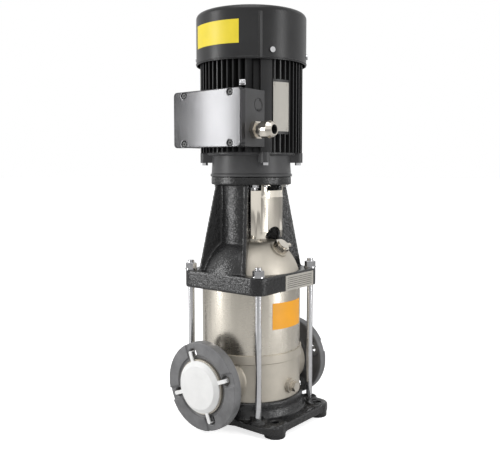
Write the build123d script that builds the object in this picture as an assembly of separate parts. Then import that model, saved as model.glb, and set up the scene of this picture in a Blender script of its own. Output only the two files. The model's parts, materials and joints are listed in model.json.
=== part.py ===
from build123d import *
import os
from math import asin, cos, degrees, radians, sin, sqrt, tan

# Vertical in-line multistage pump with a finned, fan-cooled motor on top.
# Millimetres. X runs along the ports (suction at -X, discharge at +X), Z is up, and the
# origin is on the pump axis at the floor. Each function below makes one sub-part.

os.makedirs("parts", exist_ok=True)

UPRIGHT = (Align.CENTER, Align.CENTER, Align.MIN)

# ---------------------------------------------------------------- driving dimensions

# clearances
RUNNING_GAP = 0.05          # radial, shaft in bush and screw in its seat
ASSEMBLY_GAP = 0.3          # between pieces of different bodies that pass each other
SLIP_GAP = 0.1              # radial, piece slid into its neighbour of the same body
WELD = 1.0                  # pieces of one solid run this far into each other
REACH = 300.0               # longer than the pump is wide; size of shapes that only cut

# base plate
BASE_LENGTH = 200.0         # along X
BASE_WIDTH = 262.0          # along Y
BASE_CORNER_RADIUS = 28.0
BASE_UNDERSIDE = 10.0       # the plate stands this far off the floor
BASE_TOP = 24.0
FOOT_SPACING_X = 140.0
FOOT_SPACING_Y = 224.0
FOOT_RADIUS = 20.0
FOOT_TOP = 27.0
FOOT_HOLE_RADIUS = 7.0
SEAT_TOP = 53.0             # top of the round seat that carries the pump
SEAT_RADIUS = 103.0
SEAT_FLARE = 5.0            # the seat is this much wider where it meets the plate
SEAT_FLARE_HEIGHT = 14.0
SEAT_ROOF = 9.0             # thickness of the seat's top
SEAT_WALL = 16.0
BASE_RIB_THICKNESS = 8.0
BASE_EDGE_RADIUS = 3.0

# tie bolts
BOLT_OFFSET = 84.1          # each bolt stands this far from the axis in X and in Y
BOLT_RADIUS = 6.0
BOLT_BOSS_RADIUS = 15.0
BOLT_BOSS_TOP = 30.0
BOLT_DEPTH = 16.0           # thread engagement in the base
BOLT_PROUD = 5.0            # thread standing out of the nut
NUT_ACROSS_FLATS = 19.0
NUT_HEIGHT = 11.0
WASHER_RADIUS = 12.0
WASHER_THICKNESS = 2.5
NUT_CHAMFER_HEIGHT = 1.6
NUT_CHAMFER_WIDTH = 2.6
BOLT_CLEARANCE = 0.5        # radial, tie bolt in the stool's plate

# inlet and outlet chamber
CHAMBER_RADIUS = 97.3
CHAMBER_WALL = 4.0
CHAMBER_FLOOR = 5.0
CHAMBER_TOP = SEAT_TOP + 89.0
BAND_RADIUS = 100.3         # raised band that holds the foot of the sleeve
BAND_LOW = CHAMBER_TOP - 17.7
BAND_SLOPE = 2.0            # height of the band's lower edge
SLEEVE_SOCKET = 8.0         # depth of the sleeve in the band
CUP_RADIUS = 64.0           # inner cup that leads water to the first impeller
CUP_WALL = 3.0
CUP_TOP = CHAMBER_TOP - 23.0
CUP_ROOF = 4.0
EYE_RADIUS = 29.0           # opening to the first impeller
DUCT_WALL = 3.0

# ports
PORT_HEIGHT = SEAT_TOP + 37.0
PORT_FACE = 150.0           # half of the port-to-port length
PORT_BORE_RADIUS = 25.0
HUB_RADIUS = 55.0           # round boss where each port leaves the chamber
HUB_FACE = 115.0
HUB_ROOT = 60.0             # the boss starts this far from the axis, inside the wall
HUB_TAPER = 3.0
PORT_PAST_WALL = 12.0       # the bore is cut this far past the wall that it opens
NECK_WALL = 4.5
COLLAR_RADIUS = 51.0
COLLAR_THICKNESS = 6.0

# loose port flanges
FLANGE_RADIUS = 82.5
FLANGE_THICKNESS = 19.0
FLANGE_SETBACK = 1.0        # raised sectors sit this far behind the collar's face
SECTOR_HEIGHT = 3.0
SECTOR_INNER_RADIUS = 58.0
CHANNEL_WIDTH = 24.0
FLANGE_PCD = 125.0
FLANGE_HOLE_RADIUS = 9.0
FLANGE_HOLES = 4
FLANGE_CLOCKING = 21.0      # where the loose flanges happen to be turned to
FLANGE_BACK_DEPTH = 6.0     # dished back
FLANGE_RIM = 7.0
FLANGE_HOLE_WALL = 6.0      # metal left round each hole at the dished back
FLANGE_HUB_RADIUS = 46.0
FLANGE_BORE_GAP = 0.8

# port plugs
PLUG_RIM_RADIUS = 48.5
PLUG_RIM_THICKNESS = 2.5
PLUG_FACE_RADIUS = 40.0
PLUG_HEIGHT = 8.5
PLUG_SKIRT_DEPTH = 9.0
PLUG_SKIRT_WALL = 2.0
PLUG_ARM_WIDTH = 7.0
PLUG_ARM_THICKNESS = 2.6
PLUG_ARM_REACH = 68.0
PLUG_SKIN = 2.0
PLUG_LIP = 3.0              # width of the rim's seat
PLUG_SKIRT_GAP = 0.6        # radial, skirt in the port

# outer sleeve
SLEEVE_RADIUS = 97.15
STOOL_LOW = CHAMBER_TOP + 119.0     # the stool's plate rests on the sleeve
SLEEVE_WALL = 2.5
O_RING_RADIUS = 1.5
O_RING_RISE = 6.0           # height of the seal above the skirt's lower edge
O_RING_DEPTH = 2.0          # the seal reaches this far into the skirt
O_RING_PROUD = 0.5          # and stands this far out of it

# pump cover (dome) and shaft seal
DOME_CENTRE_HEIGHT = STOOL_LOW + 6.0
DOME_RADIUS = 97.5
DOME_WALL = 4.0
DOME_SKIRT_LOW = STOOL_LOW - 14.0
DOME_FLAT_TOP = DOME_CENTRE_HEIGHT + 83.0
SKIRT_GAP = 0.6             # radial, skirt in the sleeve
SEAL_BORE_RADIUS = 24.0
SEAL_GLAND_RADIUS = 33.0
SEAL_GLAND_TOP = DOME_FLAT_TOP + 6.0
SEAL_GLAND_GAP = 3.0        # radial, shaft in the gland
SEAL_SPIGOT_DEPTH = 12.0
SEAL_SEAT_RADIUS = 16.0
SEAL_SEAT_DEPTH = 8.0
SEAL_SEAT_GAP = 1.0         # radial, shaft in the fixed seat
SEAL_FACE_RADIUS = 14.0
SEAL_FACE_HEIGHT = 6.0
SEAL_CARRIER_RADIUS = 15.0
SEAL_CARRIER_HEIGHT = 20.0

# motor stool
STOOL_HALF_WIDTH = 98.7
STOOL_CORNER_RADIUS = 24.0
STOOL_PLATE_THICKNESS = 33.25
STOOL_EDGE_RADIUS = 3.0
HOOD_WALL = 4.2             # the bell that closes over the dome at each port side
HOOD_GAP = 0.5
STOOL_BORE_GAP = 0.6        # radial, cover's skirt in the stool's plate
COLUMN_RADIUS = 62.0
COLUMN_WALL = 7.0
COLUMN_ROOT = 20.0          # the column starts this far below the dome's flat top
GUSSET_ANGLE = 31.0         # from the port axis
GUSSET_THICKNESS = 7.5
GUSSET_FOOT_RADIUS = 107.7
GUSSET_HEAD_RADIUS = 73.0
STOOL_FLANGE_RADIUS = 78.5
STOOL_FLANGE_THICKNESS = 15.7
STOOL_FLANGE_LOW = STOOL_LOW + 200.0

# bolts that hold the motor on the stool
MOTOR_BOLT_CIRCLE = 65.0
MOTOR_BOLT_RADIUS = 4.0
MOTOR_BOLT_HEAD = 5.4
MOTOR_BOLT_HEX = 13.0
MOTOR_BOLT_CLEARANCE = 0.4
MOTOR_BOLT_THREAD = 7.0     # thread engagement in the drive-end shield
MOTOR_BOLT_ANGLES = (45, 135, 225, 315)

# coupling and guards
COUPLING_RADIUS = 27.0
COUPLING_LOW = DOME_FLAT_TOP + 26.0
COUPLING_HIGH = COUPLING_LOW + 68.0
COUPLING_SPLIT = 1.6
COUPLING_SCREW_RADIUS = 4.0
COUPLING_SCREW_OFFSET = 19.0
COUPLING_SCREW_INSET = 15.0     # from each end of the coupling
COUPLING_SCREW_SEAT = 12.15     # the heads bear this far from the shaft's axis
COUPLING_SCREW_GRIP = 3.0       # thread past the seat's height in the far half
COUPLING_HEAD_RADIUS = 6.5
COUPLING_HEAD_HEIGHT = 7.0
COUPLING_POCKET_RADIUS = 7.2
GUARD_RADIUS = 62.5
GUARD_SHEET = 1.0
GUARD_LOW = DOME_FLAT_TOP + 9.0
GUARD_HIGH = STOOL_FLANGE_LOW - 11.0
GUARD_HALF_ANGLE = 52.0
GUARD_LIP = 9.0             # width of the in-turned edges
GUARD_LIP_TURN = 0.5        # the lips stand this many degrees inside the edges
GUARD_RELIEF_RADIUS = 24.0  # corner cut away round the air vent
GUARD_CORNER_RADIUS = 7.0   # small cut at the other lower corner
GUARD_RELIEF_DEPTH = 24.0
GUARD_EMBOSS_DEPTH = 0.8
GUARD_EMBOSS_HEIGHT = 2.0
GUARD_EMBOSS_HALF_ANGLE = 34.0
GUARD_EMBOSS_LOW = 12.0     # from the lower edge
GUARD_EMBOSS_HIGH = 14.0    # from the upper edge
GUARD_TAB_ANGLE = 28.0
GUARD_TAB_HALF_WIDTH = 6.0
GUARD_TAB_ROOT = 4.0
GUARD_TAB_REACH = 12.0
GUARD_SCREW_OFFSET = 6.0    # outwards from the guard
GUARD_SCREW_RADIUS = 4.0
GUARD_SCREW_HEAD = 3.2

# shafts, impellers and stages
PUMP_SHAFT_RADIUS = 9.0
PUMP_SHAFT_LOW = SEAT_TOP + 25.0
MOTOR_SHAFT_RADIUS = 14.0
SHAFT_JOINT = (COUPLING_LOW + COUPLING_HIGH) / 2    # the two shafts meet in the coupling
STAGES = 3
STAGE_PITCH = 45.0
STAGE_RADIUS = 74.0
STAGE_WALL = 2.5
STAGE_ROOF = 3.0
STAGE_EYE_RADIUS = 24.0
STAGE_ROOF_GAP = 6.0        # opening of the roof past the eye
DECK_RADIUS = 66.0          # plate that carries the guide vanes
DECK_THICKNESS = 2.0
DECK_LIFT = 3.0             # above the impeller
VANE_ROOT = 32.0
VANE_TIP = 65.0
VANE_THICKNESS = 2.0
VANE_SWEEP = -55.0
IMPELLER_RADIUS = 60.0
IMPELLER_EYE_RADIUS = 27.0
IMPELLER_HUB_RADIUS = 15.0
IMPELLER_SHROUD = 2.0
IMPELLER_WIDTH = 11.0
IMPELLER_LIFT = 9.0         # lower shroud above the floor of its stage
IMPELLER_EYE_WALL = 2.0
IMPELLER_EYE_HEIGHT = 5.0
IMPELLER_HUB_RISE = 10.0
BLADE_ROOT_INSET = 4.0      # the blades start inside the eye
BLADE_TIP_INSET = 1.5
BLADE_LEAN = 35.0           # direction of a blade's thickness from its radius
BLADE_BOW = 0.62            # share of the sweep reached half way out
BLADES = 6
BLADE_THICKNESS = 2.2
BLADE_SWEEP = 75.0
STRAP_WIDTH = 14.0
STRAP_THICKNESS = 2.0
STRAP_HOOK = 12.0           # the strap's upper end lies this far over the top stage
BUSH_RADIUS = 15.0
BUSH_HEIGHT = 6.0
BUSH_LIFT = 14.0            # above the impeller
BUSH_SPOKES = 3
SPOKE_HALF_WIDTH = 2.0
SPOKE_HEIGHT = 4.0
BUSH_RING_WALL = 3.0

# motor
MOTOR_LOW = STOOL_FLANGE_LOW + STOOL_FLANGE_THICKNESS
SHIELD_LOW_RADIUS = 78.0
SHIELD_HIGH_RADIUS = 76.0
SHIELD_TOP = MOTOR_LOW + 44.9
SHIELD_WALL = 7.0
SHIELD_FLOOR = 9.0
SHIELD_FLANGE_PROUD = 2.0   # step at the shield's foot
SHIELD_FLANGE_HEIGHT = 4.0
SHIELD_STEP = 2.0
SHIELD_NECK_DEPTH = 6.0     # the shield widens to the frame over its top
SHIELD_RIM = 3.0
SPIGOT_RADIUS = 55.0
SPIGOT_HEIGHT = 3.5
EAR_ANGLE = 55.0            # of the four through bolts, from the port axis
EAR_RADIUS = 9.0
EAR_CIRCLE = 91.5
EAR_LOW = SHIELD_TOP - 18.6
EAR_ROOT = 3.0
THROUGH_BOLT_RADIUS = 3.0
THROUGH_BOLT_CLEARANCE = 0.3
THROUGH_BOLT_HEX = 10.0
THROUGH_BOLT_HEAD = 5.0
THROUGH_BOLT_END = 4.0      # thread in the fan-end shield
FRAME_TOP = SHIELD_TOP + 178.4
FRAME_BORE_RADIUS = 77.5
FRAME_BODY_RADIUS = 86.0
FIN_RADIUS = 100.4
FIN_PITCH = 11.0
FIN_TIP = 2.2
FIN_ROOT = 3.8
FIN_DEPTH = 30.0            # the fins' outline starts this far inside the body
FIN_TRIM = 2.0              # and ends this far past the circle that trims them
SIDE_FINS_END = 36.0        # angle from the port axis where the port-side fins stop
PAD_START = 48.4            # full-length pads that carry the through bolts
PAD_END = 61.0
PAD_RADIUS = 99.0
BEARING_RADIUS = 31.0
BEARING_WIDTH = 16.0
BEARING_HUB_WALL = 8.0
BEARING_SEAT_DEPTH = 3.0    # the drive-end bearing sits this far into the floor
BEARING_HUB_RISE = 4.0
BEARING_END_GAP = 0.2
SHAFT_HOLE_GAP = 1.0        # radial, shaft through the shields
SHAFT_SHOULDER = 3.0        # the shaft is thicker by this between the bearings
FAN_BEARING_DROP = 6.0      # the fan-end bearing starts this far below the frame's top
FAN_HUB_DROP = 8.0
FAN_HUB_WALL = 7.0
FAN_SHIELD_TOP = FRAME_TOP + 12.0
FAN_SHIELD_SLOPE = 3.0
FAN_SHIELD_BEVEL = 6.0
FAN_SHIELD_RADIUS = 98.0
ROTOR_RADIUS = 47.0
ROTOR_LOW = SHIELD_TOP + 23.4
ROTOR_HIGH = FRAME_TOP - 35.0
ROTOR_RING_REACH = 8.0      # end rings above and below the core
ROTOR_RING_INSET = 3.0
ROTOR_RING_WIDTH = 9.0
STATOR_BORE_GAP = 0.5
STATOR_SLOTS = 18
SLOT_START = 3.0            # from the rotor's surface
SLOT_END = 19.0
SLOT_HALF_WIDTH = 3.5
SLOT_MOUTH_HALF_WIDTH = 1.2
WINDING_REACH = 22.0
WINDING_START = 6.0
WINDING_END = 18.0
WINDING_HALF_WIDTH = 3.2
WINDING_RING_INNER = 5.0
WINDING_RING_OUTER = 22.0
FAN_RADIUS = 84.0
FAN_HUB_RADIUS = 24.0
FAN_LOW = FRAME_TOP + 24.0
FAN_HEIGHT = 30.0
FAN_BLADES = 7
FAN_BLADE_HALF = 1.5
FAN_DISC_RADIUS = 70.0
FAN_DISC_THICKNESS = 2.5
FAN_HUB_INSET = 4.0         # the hub is this much lower than the blades
FAN_BLADE_ROOT = 2.0
SHAFT_TOP = FRAME_TOP + 52.0

# fan cover
COVER_RADIUS = 106.4
COVER_LOW = FRAME_TOP - 11.4
COVER_TOP = FRAME_TOP + 84.5
COVER_SHEET = 2.0
COVER_EDGE_RADIUS = 9.0
GRILLE_RINGS = ((34.0, 14), (54.0, 22), (74.0, 30))
GRILLE_SLOT_LENGTH = 15.0
GRILLE_SLOT_WIDTH = 5.0
COVER_SCREW_HEIGHT = FRAME_TOP + 4.6
COVER_SCREW_ANGLE = 59.5
COVER_SCREW_RADIUS = 2.5
COVER_SCREW_DEPTH = 6.0
COVER_SPACER_RADIUS = 4.2
COVER_SCREW_END = 1.0       # shank past the cover's surface
COVER_SCREW_HEAD = 3.0

# terminal box
BOX_CENTRE_HEIGHT = SHIELD_TOP + 59.9
BOX_HALF_HEIGHT = 50.5
BOX_HALF_WIDTH = 80.0
BOX_REAR = -42.0
BOX_WALL = 4.0
BOX_FLOOR = 2.4             # curved floor that follows the motor frame
BOX_FRAME_GAP = 0.4
BOX_SEAT = 101.6            # flat on the frame where the terminal box sits
PEDESTAL_HALF = 26.0
PEDESTAL_ROOT = 6.0
PEDESTAL_GAP = 0.2
CABLE_HOLE_RADIUS = 14.0
CABLE_HOLE_PAST = 10.0
LID_FACE = -130.6
LID_DEPTH = 12.0
LID_HALF_WIDTH = 82.3
LID_HALF_HEIGHT = 51.5
LID_CORNER_RADIUS = 7.0
LID_WALL = 3.0
GASKET_THICKNESS = 1.0
LID_SCREW_Y = 56.3
LID_SCREW_Z = 44.5
LID_SCREW_RADIUS = 2.5
LID_SCREW_HEAD_RADIUS = 4.5
LID_POST_RADIUS = 6.5
LID_HEAD_DEPTH = 5.0        # counterbore of each lid screw
LID_HEAD_GAP = 0.8
LID_HEAD_SUNK = 1.0
LID_THREAD_DEPTH = 10.0
LID_SCREW_LENGTH = 9.0      # into the box
LID_SOCKET_RADIUS = 2.0
LID_SOCKET_DEPTH = 2.5
GASKET_CORNER_RADIUS = 2.0
BLOCK_HALF_WIDTH = 24.0     # terminal block
BLOCK_HALF_HEIGHT = 34.0
BLOCK_DEPTH = 9.0
STUD_RADIUS = 2.5
STUD_LENGTH = 6.0
STUD_SPACING = 15.0
STUD_ROW = 20.0
GLAND_X = -90.0
GLAND_Z = BOX_CENTRE_HEIGHT - 21.5
GLAND_THREAD_RADIUS = 12.5
GLAND_ACROSS_FLATS = 30.0
GLAND_HEX_LENGTH = 9.0
GLAND_BORE_WALL = 3.0
GLAND_THREAD_INSET = 14.0   # the body ends this far inside the nut's mouth
LOCK_NUT_ACROSS_FLATS = 27.0
LOCK_NUT_THICKNESS = 4.0
GLAND_NUT_LENGTH = 24.0
GLAND_NUT_PROUD = 0.6       # the nut is this much larger than the collar
GLAND_NUT_FLAT = 1.0        # its flats are this much smaller across
GLAND_DOME_DEPTH = 9.0
GLAND_DOME_STEPS = ((2.5, 3.0), (5.0, 0.0))     # inset and distance from the mouth
GLAND_LIP = 1.2
GLAND_LIP_DEPTH = 3.0
GLAND_SEAL_GAP = 0.1
GLAND_SEAL_LENGTH = 24.0
GLAND_SEAL_SUNK = 0.5
GLAND_HOLE_RADIUS = 7.5
GLAND_REACH = 44.0          # from the box's side to the gland's mouth
BLANK_X = -79.0
BLANK_Z = BOX_CENTRE_HEIGHT + 24.0
BLANK_RADIUS = 12.0
BLANK_DEPTH = 1.5
BLANK_GROOVE = 1.2

# air vent and drain
VENT_CIRCLE = 68.0          # where the vent's axis leaves the dome, from the pump axis
VENT_BOSS_RADIUS = 18.0
VENT_HEAD_RADIUS = 15.0
VENT_HEAD_HEIGHT = 12.0
VENT_STEM_RADIUS = 9.0
VENT_SCREW_RADIUS = 2.5
VENT_BOSS_DEPTH = 8.0
VENT_BOSS_TOP = 2.0         # the head rests here, from the dome's surface
VENT_STEM_DEPTH = 10.0
VENT_COLLAR_HEIGHT = 3.0
VENT_FLAT_INSET = 3.0       # head across its flats against its diameter
VENT_CAP_INSET = 4.0
VENT_CAP_HEIGHT = 3.0
VENT_BORE_RADIUS = 2.5
VENT_ARM_RADIUS = 5.0
VENT_ARM_REACH = 4.0        # past the head
VENT_ARM_HEIGHT = 9.0
VENT_SCREW_START = 4.0
VENT_SCREW_TIP = 5.0
VENT_SCREW_HEAD_RADIUS = 4.5
VENT_SCREW_HEAD = 7.0
VENT_SLOT_DEPTH = 1.5
VENT_SLOT_HALF_WIDTH = 0.6
DRAIN_X = -3.0
DRAIN_Z = SEAT_TOP + 23.0
DRAIN_BOSS_RADIUS = 14.0
DRAIN_BOSS_FACE = 104.0     # distance of the boss's face from the axis
DRAIN_THREAD_RADIUS = 6.5
DRAIN_HEX = 17.0
DRAIN_HEAD = 8.0
DRAIN_THREAD_PAST = 8.0     # the hole is cut this far past the wall
DRAIN_THREAD_LENGTH = 11.0
DRAIN_COLLAR = 2.0
DRAIN_COLLAR_WIDTH = 2.5

# plates and labels
PLATE_THICKNESS = 0.8
PLATE_GAP = 0.15            # adhesive under labels and the curved nameplate
LABEL_THICKNESS = 0.3
RIVET_RADIUS = 1.6
RIVET_HEIGHT = 0.8
RIVET_GAP = 0.02
NAMEPLATE_START = 241.5     # angles about the pump axis
NAMEPLATE_END = 262.0
NAMEPLATE_LOW = FRAME_TOP - 140.0
NAMEPLATE_HIGH = FRAME_TOP - 51.0
NAMEPLATE_SEAT = 5.0        # the pad reaches this far above and below the plate
NAMEPLATE_TRIM = 0.5
NAMEPLATE_RIVET_INSET = 4.0
NAMEPLATE_RIVET_ANGLE = 2.5
STOOL_PLATE_START = -20.0   # plate on the stool's rim, along X
STOOL_PLATE_END = 73.0
STOOL_PLATE_INSET = 0.5
STOOL_PLATE_HEIGHT = 29.0
STOOL_RIVET_INSET = 4.0
COVER_LABEL_LOW = COVER_TOP - 68.5
COVER_LABEL_HIGH = COVER_TOP - 26.5
COVER_LABEL_START = 147.6
COVER_LABEL_END = 206.6
SLEEVE_LABEL_LOW = CHAMBER_TOP + 48.0
SLEEVE_LABEL_HIGH = CHAMBER_TOP + 98.0
SLEEVE_LABEL_START = 243.0
SLEEVE_LABEL_END = 293.0

nodes = {}


# ---------------------------------------------------------------- shared shapes

def drum(radius, low, high, x=0.0, y=0.0):
    """Upright cylinder between two heights."""
    return Pos(x, y, low) * Cylinder(radius, high - low, align=UPRIGHT)


def ring(outer, inner, low, high, x=0.0, y=0.0):
    """Upright tube between two heights."""
    return drum(outer, low, high, x, y) - drum(inner, low, high, x, y)


def x_drum(radius, start, end, y=0.0, z=0.0):
    """Cylinder along X."""
    return Location((start, y, z), (0, 90, 0)) * Cylinder(radius, end - start, align=UPRIGHT)


def y_drum(radius, start, end, x=0.0, z=0.0):
    """Cylinder along Y."""
    return Location((x, start, z), (-90, 0, 0)) * Cylinder(radius, end - start, align=UPRIGHT)


def block(x_low, x_high, y_low, y_high, z_low, z_high):
    """Box between two corners."""
    size = (x_high - x_low, y_high - y_low, z_high - z_low)
    return Pos(x_low, y_low, z_low) * Box(*size, align=(Align.MIN, Align.MIN, Align.MIN))


def hexagon(across_flats, height):
    """Upright hexagonal prism that stands on the XY plane."""
    return extrude(RegularPolygon(across_flats / 2, 6, major_radius=False), height)


def turned(outline):
    """Solid of revolution from a closed outline of (radius, height) points."""
    return revolve(Plane.XZ * make_face(Polyline(*outline, close=True)), Axis.Z)


def wedge(start, end, low, high):
    """Pie slice about the pump axis between two angles less than a half turn apart."""
    middle = (start + end) / 2
    corners = [around(REACH, angle) for angle in (start, middle, end)]
    return Pos(0, 0, low) * extrude(make_face(Polyline((0, 0), *corners, close=True)), high - low)


def ring_sector(outer, inner, low, high, start, end):
    """Piece of a tube between two angles."""
    return ring(outer, inner, low, high) & wedge(start, end, low, high)


def around(radius, angle):
    """Point at an angle on a circle about the pump axis."""
    return radius * cos(radians(angle)), radius * sin(radians(angle))


def four_corners(x, y):
    """The four points at plus and minus x and y."""
    return [(x, y), (-x, y), (-x, -y), (x, -y)]


def sphere_radius_at(radius, height):
    """Radius of the dome's sphere family, centred at DOME_CENTRE_HEIGHT, at a height."""
    return sqrt(radius ** 2 - (height - DOME_CENTRE_HEIGHT) ** 2)


def ear_angles():
    """Angles of the four motor through bolts."""
    return (EAR_ANGLE, 180 - EAR_ANGLE, 180 + EAR_ANGLE, 360 - EAR_ANGLE)


def save(name, shape):
    """Keep a finished sub-part under its node name."""
    nodes[name] = shape


# ---------------------------------------------------------------- base and pump body

def base_plate():
    outline = RectangleRounded(BASE_LENGTH, BASE_WIDTH, BASE_CORNER_RADIUS)
    plate = extrude(Pos(0, 0, BASE_UNDERSIDE) * outline, BASE_TOP - BASE_UNDERSIDE)
    plate = fillet(plate.edges().group_by(Axis.Z)[-1], BASE_EDGE_RADIUS)
    plate += turned([
        (0, BASE_UNDERSIDE), (SEAT_RADIUS + SEAT_FLARE, BASE_UNDERSIDE),
        (SEAT_RADIUS + SEAT_FLARE, BASE_TOP),
        (SEAT_RADIUS, BASE_TOP + SEAT_FLARE_HEIGHT), (SEAT_RADIUS, SEAT_TOP - BASE_EDGE_RADIUS),
        (SEAT_RADIUS - BASE_EDGE_RADIUS, SEAT_TOP), (0, SEAT_TOP)])
    for x, y in four_corners(BOLT_OFFSET, BOLT_OFFSET):
        plate += drum(BOLT_BOSS_RADIUS, BASE_UNDERSIDE, BOLT_BOSS_TOP, x, y)
    for x, y in four_corners(FOOT_SPACING_X / 2, FOOT_SPACING_Y / 2):
        plate += drum(FOOT_RADIUS, 0, FOOT_TOP, x, y)
    pocket = drum(SEAT_RADIUS - SEAT_WALL, BASE_UNDERSIDE, SEAT_TOP - SEAT_ROOF)
    half_rib = BASE_RIB_THICKNESS / 2
    for rib_angle in (0, 90):
        rib = block(-SEAT_RADIUS, SEAT_RADIUS, -half_rib, half_rib, BASE_UNDERSIDE, SEAT_TOP)
        pocket -= Rot(0, 0, rib_angle) * rib
    plate -= pocket
    for x, y in four_corners(BOLT_OFFSET, BOLT_OFFSET):
        plate -= drum(BOLT_RADIUS + SLIP_GAP, BOLT_BOSS_TOP - BOLT_DEPTH, BOLT_BOSS_TOP, x, y)
    for x, y in four_corners(FOOT_SPACING_X / 2, FOOT_SPACING_Y / 2):
        plate -= drum(FOOT_HOLE_RADIUS, 0, FOOT_TOP, x, y)
    return plate


def pump_chamber():
    inside = CHAMBER_RADIUS - CHAMBER_WALL
    socket = SLEEVE_RADIUS + SLIP_GAP
    shell = turned([
        (0, SEAT_TOP), (CHAMBER_RADIUS, SEAT_TOP), (CHAMBER_RADIUS, BAND_LOW),
        (BAND_RADIUS, BAND_LOW + BAND_SLOPE), (BAND_RADIUS, CHAMBER_TOP), (socket, CHAMBER_TOP),
        (socket, CHAMBER_TOP - SLEEVE_SOCKET), (inside, CHAMBER_TOP - SLEEVE_SOCKET),
        (inside, SEAT_TOP + CHAMBER_FLOOR), (0, SEAT_TOP + CHAMBER_FLOOR)])
    cup = ring(CUP_RADIUS, CUP_RADIUS - CUP_WALL, SEAT_TOP + CHAMBER_FLOOR, CUP_TOP)
    cup += ring(CUP_RADIUS, EYE_RADIUS, CUP_TOP - CUP_ROOF, CUP_TOP)
    for side in (-1, 1):
        hub = Cone(HUB_RADIUS, HUB_RADIUS - HUB_TAPER, HUB_FACE - HUB_ROOT, align=UPRIGHT)
        hub = Location((side * HUB_ROOT, 0, PORT_HEIGHT), (0, side * 90, 0)) * hub
        hub &= block(-HUB_FACE, HUB_FACE, -HUB_RADIUS, HUB_RADIUS, SEAT_TOP, BAND_LOW)
        shell += hub - drum(inside, 0, CHAMBER_TOP)
    duct_reach = CUP_RADIUS - CUP_WALL
    duct = x_drum(PORT_BORE_RADIUS + DUCT_WALL, -inside - WELD, -duct_reach, 0, PORT_HEIGHT)
    duct -= drum(duct_reach, 0, CHAMBER_TOP)
    chamber = shell + cup + duct
    chamber -= x_drum(PORT_BORE_RADIUS, -HUB_FACE, PORT_PAST_WALL - duct_reach, 0,
                      PORT_HEIGHT)
    chamber -= x_drum(PORT_BORE_RADIUS, inside - PORT_PAST_WALL, HUB_FACE, 0, PORT_HEIGHT)
    boss = y_drum(DRAIN_BOSS_RADIUS, -DRAIN_BOSS_FACE, -inside - WELD, DRAIN_X, DRAIN_Z)
    chamber += boss - drum(inside, 0, CHAMBER_TOP)
    thread = DRAIN_THREAD_RADIUS + RUNNING_GAP
    chamber -= y_drum(thread, -DRAIN_BOSS_FACE, DRAIN_THREAD_PAST - inside, DRAIN_X, DRAIN_Z)
    return chamber


def port_stub(side):
    """Neck and collar welded to a port hub; the collar holds the loose flange."""
    bore = PORT_BORE_RADIUS
    neck = ring(bore + NECK_WALL, bore, HUB_FACE, PORT_FACE)
    neck += ring(COLLAR_RADIUS, bore, PORT_FACE - COLLAR_THICKNESS, PORT_FACE)
    return Location((0, 0, PORT_HEIGHT), (0, side * 90, 0)) * neck


def port_flange(side):
    """Loose flange: four raised sectors in front, a dished back and a recess for the collar."""
    face = PORT_FACE - FLANGE_SETBACK
    floor = face - SECTOR_HEIGHT
    back = face - FLANGE_THICKNESS
    disc = drum(FLANGE_RADIUS, back, floor)
    sectors = ring(FLANGE_RADIUS, SECTOR_INNER_RADIUS, floor, face)
    dish = ring(FLANGE_RADIUS - FLANGE_RIM, FLANGE_HUB_RADIUS, back, back + FLANGE_BACK_DEPTH)
    half = CHANNEL_WIDTH / 2
    holes = []
    for number in range(FLANGE_HOLES):
        turn = Rot(0, 0, number * 360 / FLANGE_HOLES)
        sectors -= turn * block(0, FLANGE_RADIUS + WELD, -half, half, floor, face)
        x, y = around(FLANGE_PCD / 2, number * 360 / FLANGE_HOLES)
        dish -= drum(FLANGE_HOLE_RADIUS + FLANGE_HOLE_WALL, back, floor, x, y)
        holes.append(drum(FLANGE_HOLE_RADIUS, back, face, x, y))
    flange = disc + sectors - dish
    neck = PORT_BORE_RADIUS + NECK_WALL + FLANGE_BORE_GAP
    flange -= drum(neck, back, face)
    collar_back = PORT_FACE - COLLAR_THICKNESS - ASSEMBLY_GAP
    flange -= drum(COLLAR_RADIUS + FLANGE_BORE_GAP, collar_back, face)
    for hole in holes:
        flange -= hole
    flange = Rot(0, 0, -side * FLANGE_CLOCKING) * flange
    return Location((0, 0, PORT_HEIGHT), (0, side * 90, 0)) * flange


def port_plug(side):
    """Plastic cap: conical face, skirt in the bore and four arms that lie in the channels."""
    rest = PORT_FACE + ASSEMBLY_GAP
    front = rest + PLUG_HEIGHT
    skirt = PORT_BORE_RADIUS - PLUG_SKIRT_GAP
    cap = turned([
        (0, front), (PLUG_FACE_RADIUS, front), (PLUG_RIM_RADIUS, rest + PLUG_RIM_THICKNESS),
        (PLUG_RIM_RADIUS, rest), (PLUG_RIM_RADIUS - PLUG_LIP, rest),
        (PLUG_FACE_RADIUS - PLUG_SKIN, front - PLUG_SKIN), (skirt, front - PLUG_SKIN),
        (skirt, rest - PLUG_SKIRT_DEPTH), (skirt - PLUG_SKIRT_WALL, rest - PLUG_SKIRT_DEPTH),
        (skirt - PLUG_SKIRT_WALL, front - PLUG_SKIN), (0, front - PLUG_SKIN)])
    half = PLUG_ARM_WIDTH / 2
    for number in range(FLANGE_HOLES):
        arm = block(PLUG_RIM_RADIUS - PLUG_SKIN, PLUG_ARM_REACH - half, -half, half,
                    rest, rest + PLUG_ARM_THICKNESS)
        arm += drum(half, rest, rest + PLUG_ARM_THICKNESS, PLUG_ARM_REACH - half, 0)
        cap += Rot(0, 0, number * 360 / FLANGE_HOLES) * arm
    cap = Rot(0, 0, -side * FLANGE_CLOCKING) * cap
    return Location((0, 0, PORT_HEIGHT), (0, side * 90, 0)) * cap


def outer_sleeve():
    return ring(SLEEVE_RADIUS, SLEEVE_RADIUS - SLEEVE_WALL, CHAMBER_TOP - SLEEVE_SOCKET, STOOL_LOW)


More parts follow.
